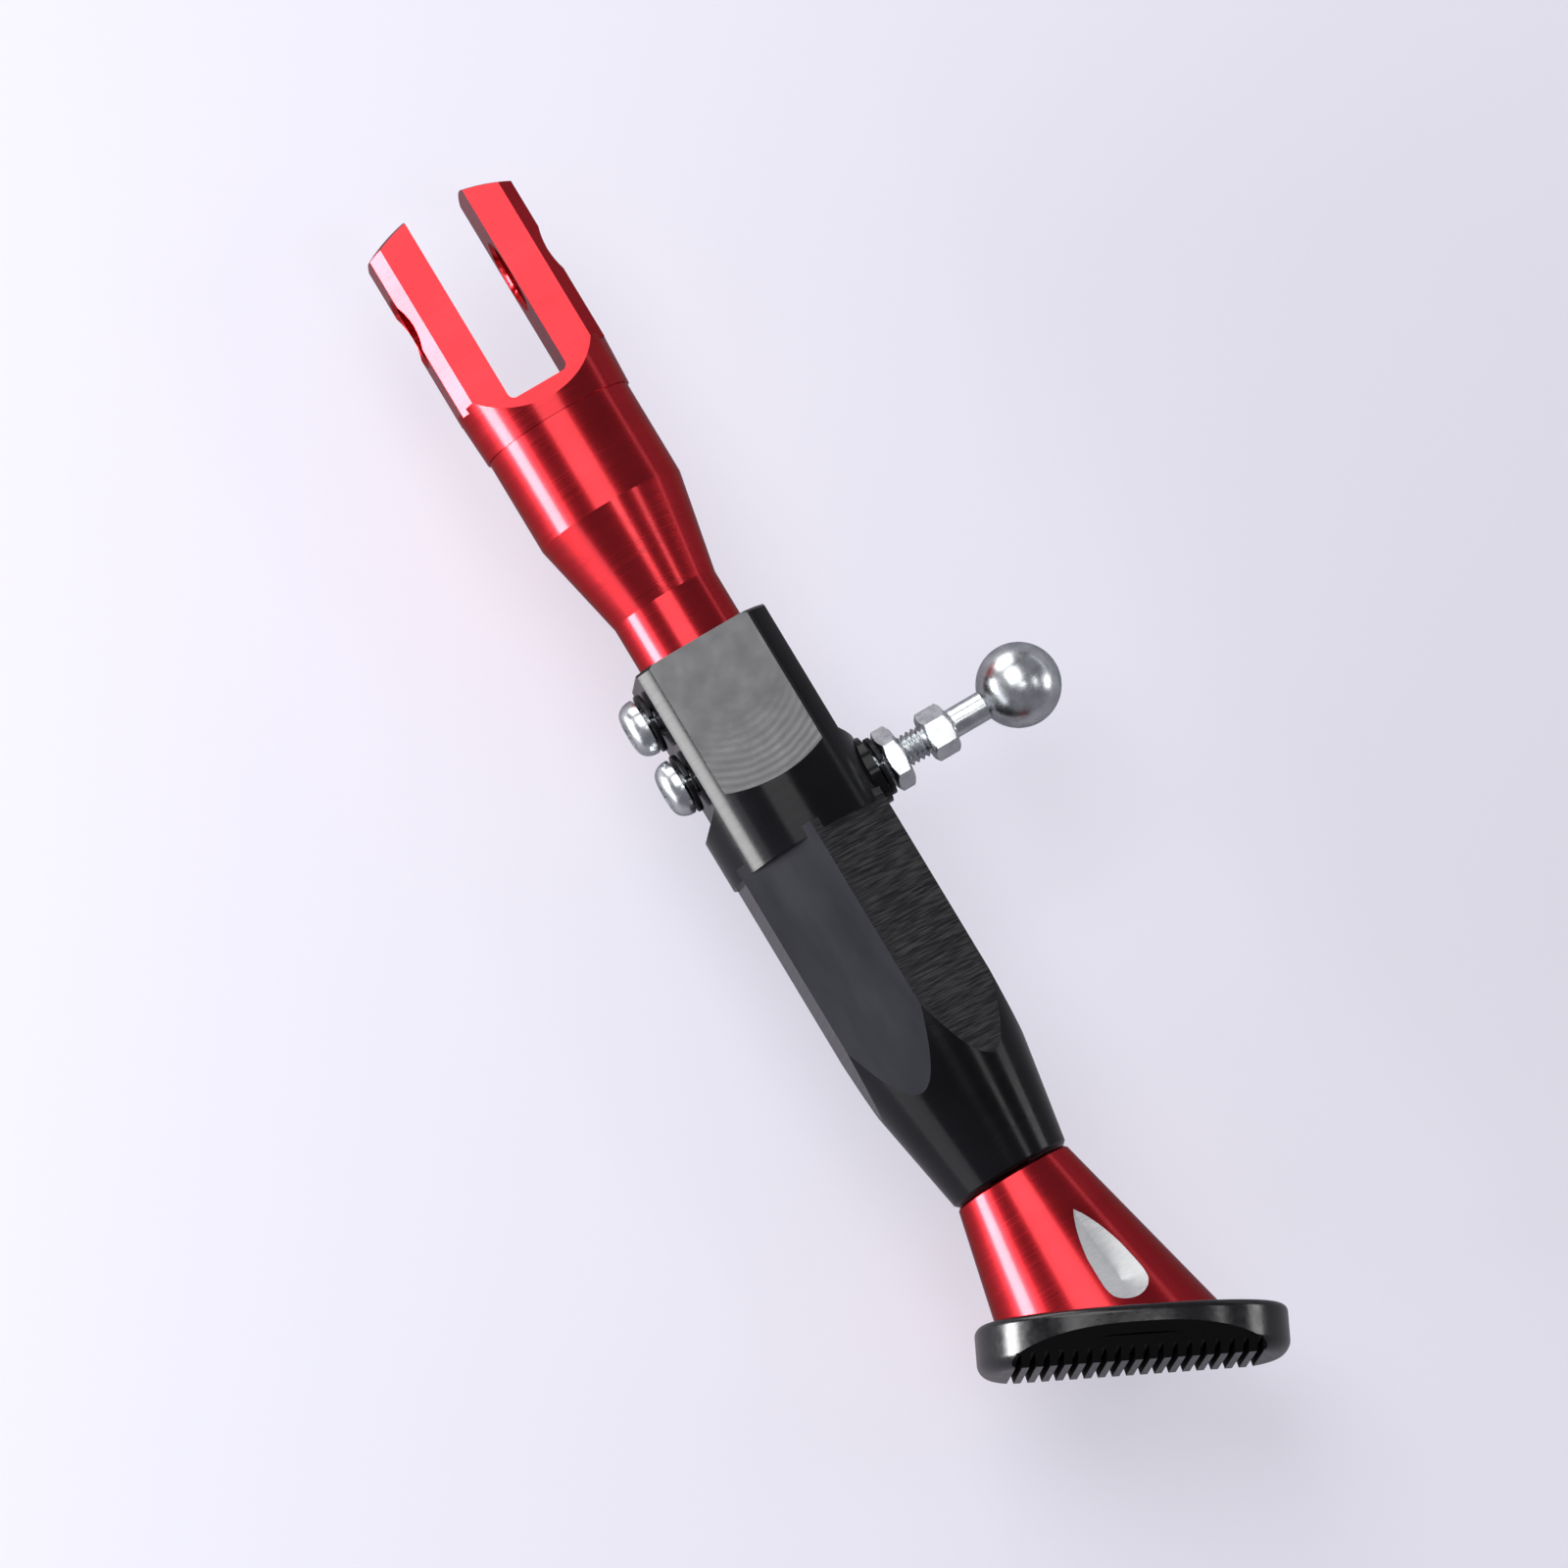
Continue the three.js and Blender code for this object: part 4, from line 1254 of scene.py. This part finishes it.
def add_floor():
    """The floor behind the stand, just out of reach of the pad as the foot turns. It is
    one-sided, so that the stand can also be looked at from behind, and paler to the camera
    than it is to the metal that mirrors it."""
    level = PAD_HIGH.x - PAD_ORIGIN_X * MM + FLOOR_CLEARANCE
    half = FLOOR_HALF
    middle = TO_ROW @ Vector((0, 0, -VIEW_DOWN))
    corners = [(-half, -half), (half, -half), (half, half), (-half, half)]
    points = [(middle.x + x, level, middle.z + z) for x, z in corners]
    floor = make("floor", points, [[0, 1, 2, 3]])
    if floor.data.polygons[0].normal.y > 0:
        floor.data.flip_normals()
    material = bpy.data.materials.new("pale_floor")
    material.use_nodes = True
    nodes, links = material.node_tree.nodes, material.node_tree.links
    surface = nodes["Principled BSDF"]
    surface.inputs["Roughness"].default_value = 0.8
    surface.inputs["Emission Color"].default_value = PALE
    path = nodes.new("ShaderNodeLightPath")
    glow = nodes.new("ShaderNodeMath")
    glow.operation = "MULTIPLY"
    glow.inputs[1].default_value = FLOOR_GLOW
    links.new(path.outputs["Is Camera Ray"], glow.inputs[0])
    links.new(glow.outputs["Value"], surface.inputs["Emission Strength"])
    paint = nodes.new("ShaderNodeMix")
    paint.data_type = "RGBA"
    paint.inputs["A"].default_value = FLOOR_MIRRORED
    paint.inputs["B"].default_value = FLOOR_SEEN
    links.new(path.outputs["Is Camera Ray"], paint.inputs["Factor"])
    links.new(paint.outputs["Result"], surface.inputs["Base Color"])
    clear = nodes.new("ShaderNodeBsdfTransparent")
    side = nodes.new("ShaderNodeNewGeometry")
    mix = nodes.new("ShaderNodeMixShader")
    links.new(side.outputs["Backfacing"], mix.inputs["Fac"])
    links.new(surface.outputs["BSDF"], mix.inputs[1])
    links.new(clear.outputs["BSDF"], mix.inputs[2])
    links.new(mix.outputs["Shader"], nodes["Material Output"].inputs["Surface"])
    floor.data.materials.append(material)


def add_camera():
    camera = bpy.data.cameras.new("camera")
    obj = bpy.data.objects.new("camera", camera)
    bpy.context.scene.collection.objects.link(obj)
    camera.lens = camera.sensor_width * CAMERA_DISTANCE / VIEW_WIDTH
    camera.clip_start = 0.01
    camera.clip_end = 20
    target = TO_ROW @ Vector((VIEW_RIGHT, 0, -VIEW_DOWN))
    away = leg_direction(-math.degrees(CAMERA_YAW), -math.degrees(CAMERA_DROP))
    forward = -away
    along = leg_direction(0, 90)
    upright = (along - forward * along.dot(forward)).normalized()
    right = forward.cross(upright)
    up = upright * math.cos(IMAGE_ANGLE) + right * math.sin(IMAGE_ANGLE)
    aim(obj, target + away * CAMERA_DISTANCE, target, up)
    bpy.context.scene.camera = obj


# ------------------------------------------------------------------ everything

build_fork()
build_leg()
build_fasteners()
build_foot()
build_pad()
finish_hidden_nodes()
add_world()
add_floor()
add_lights()
add_camera()
bpy.context.scene.view_settings.view_transform = "Standard"
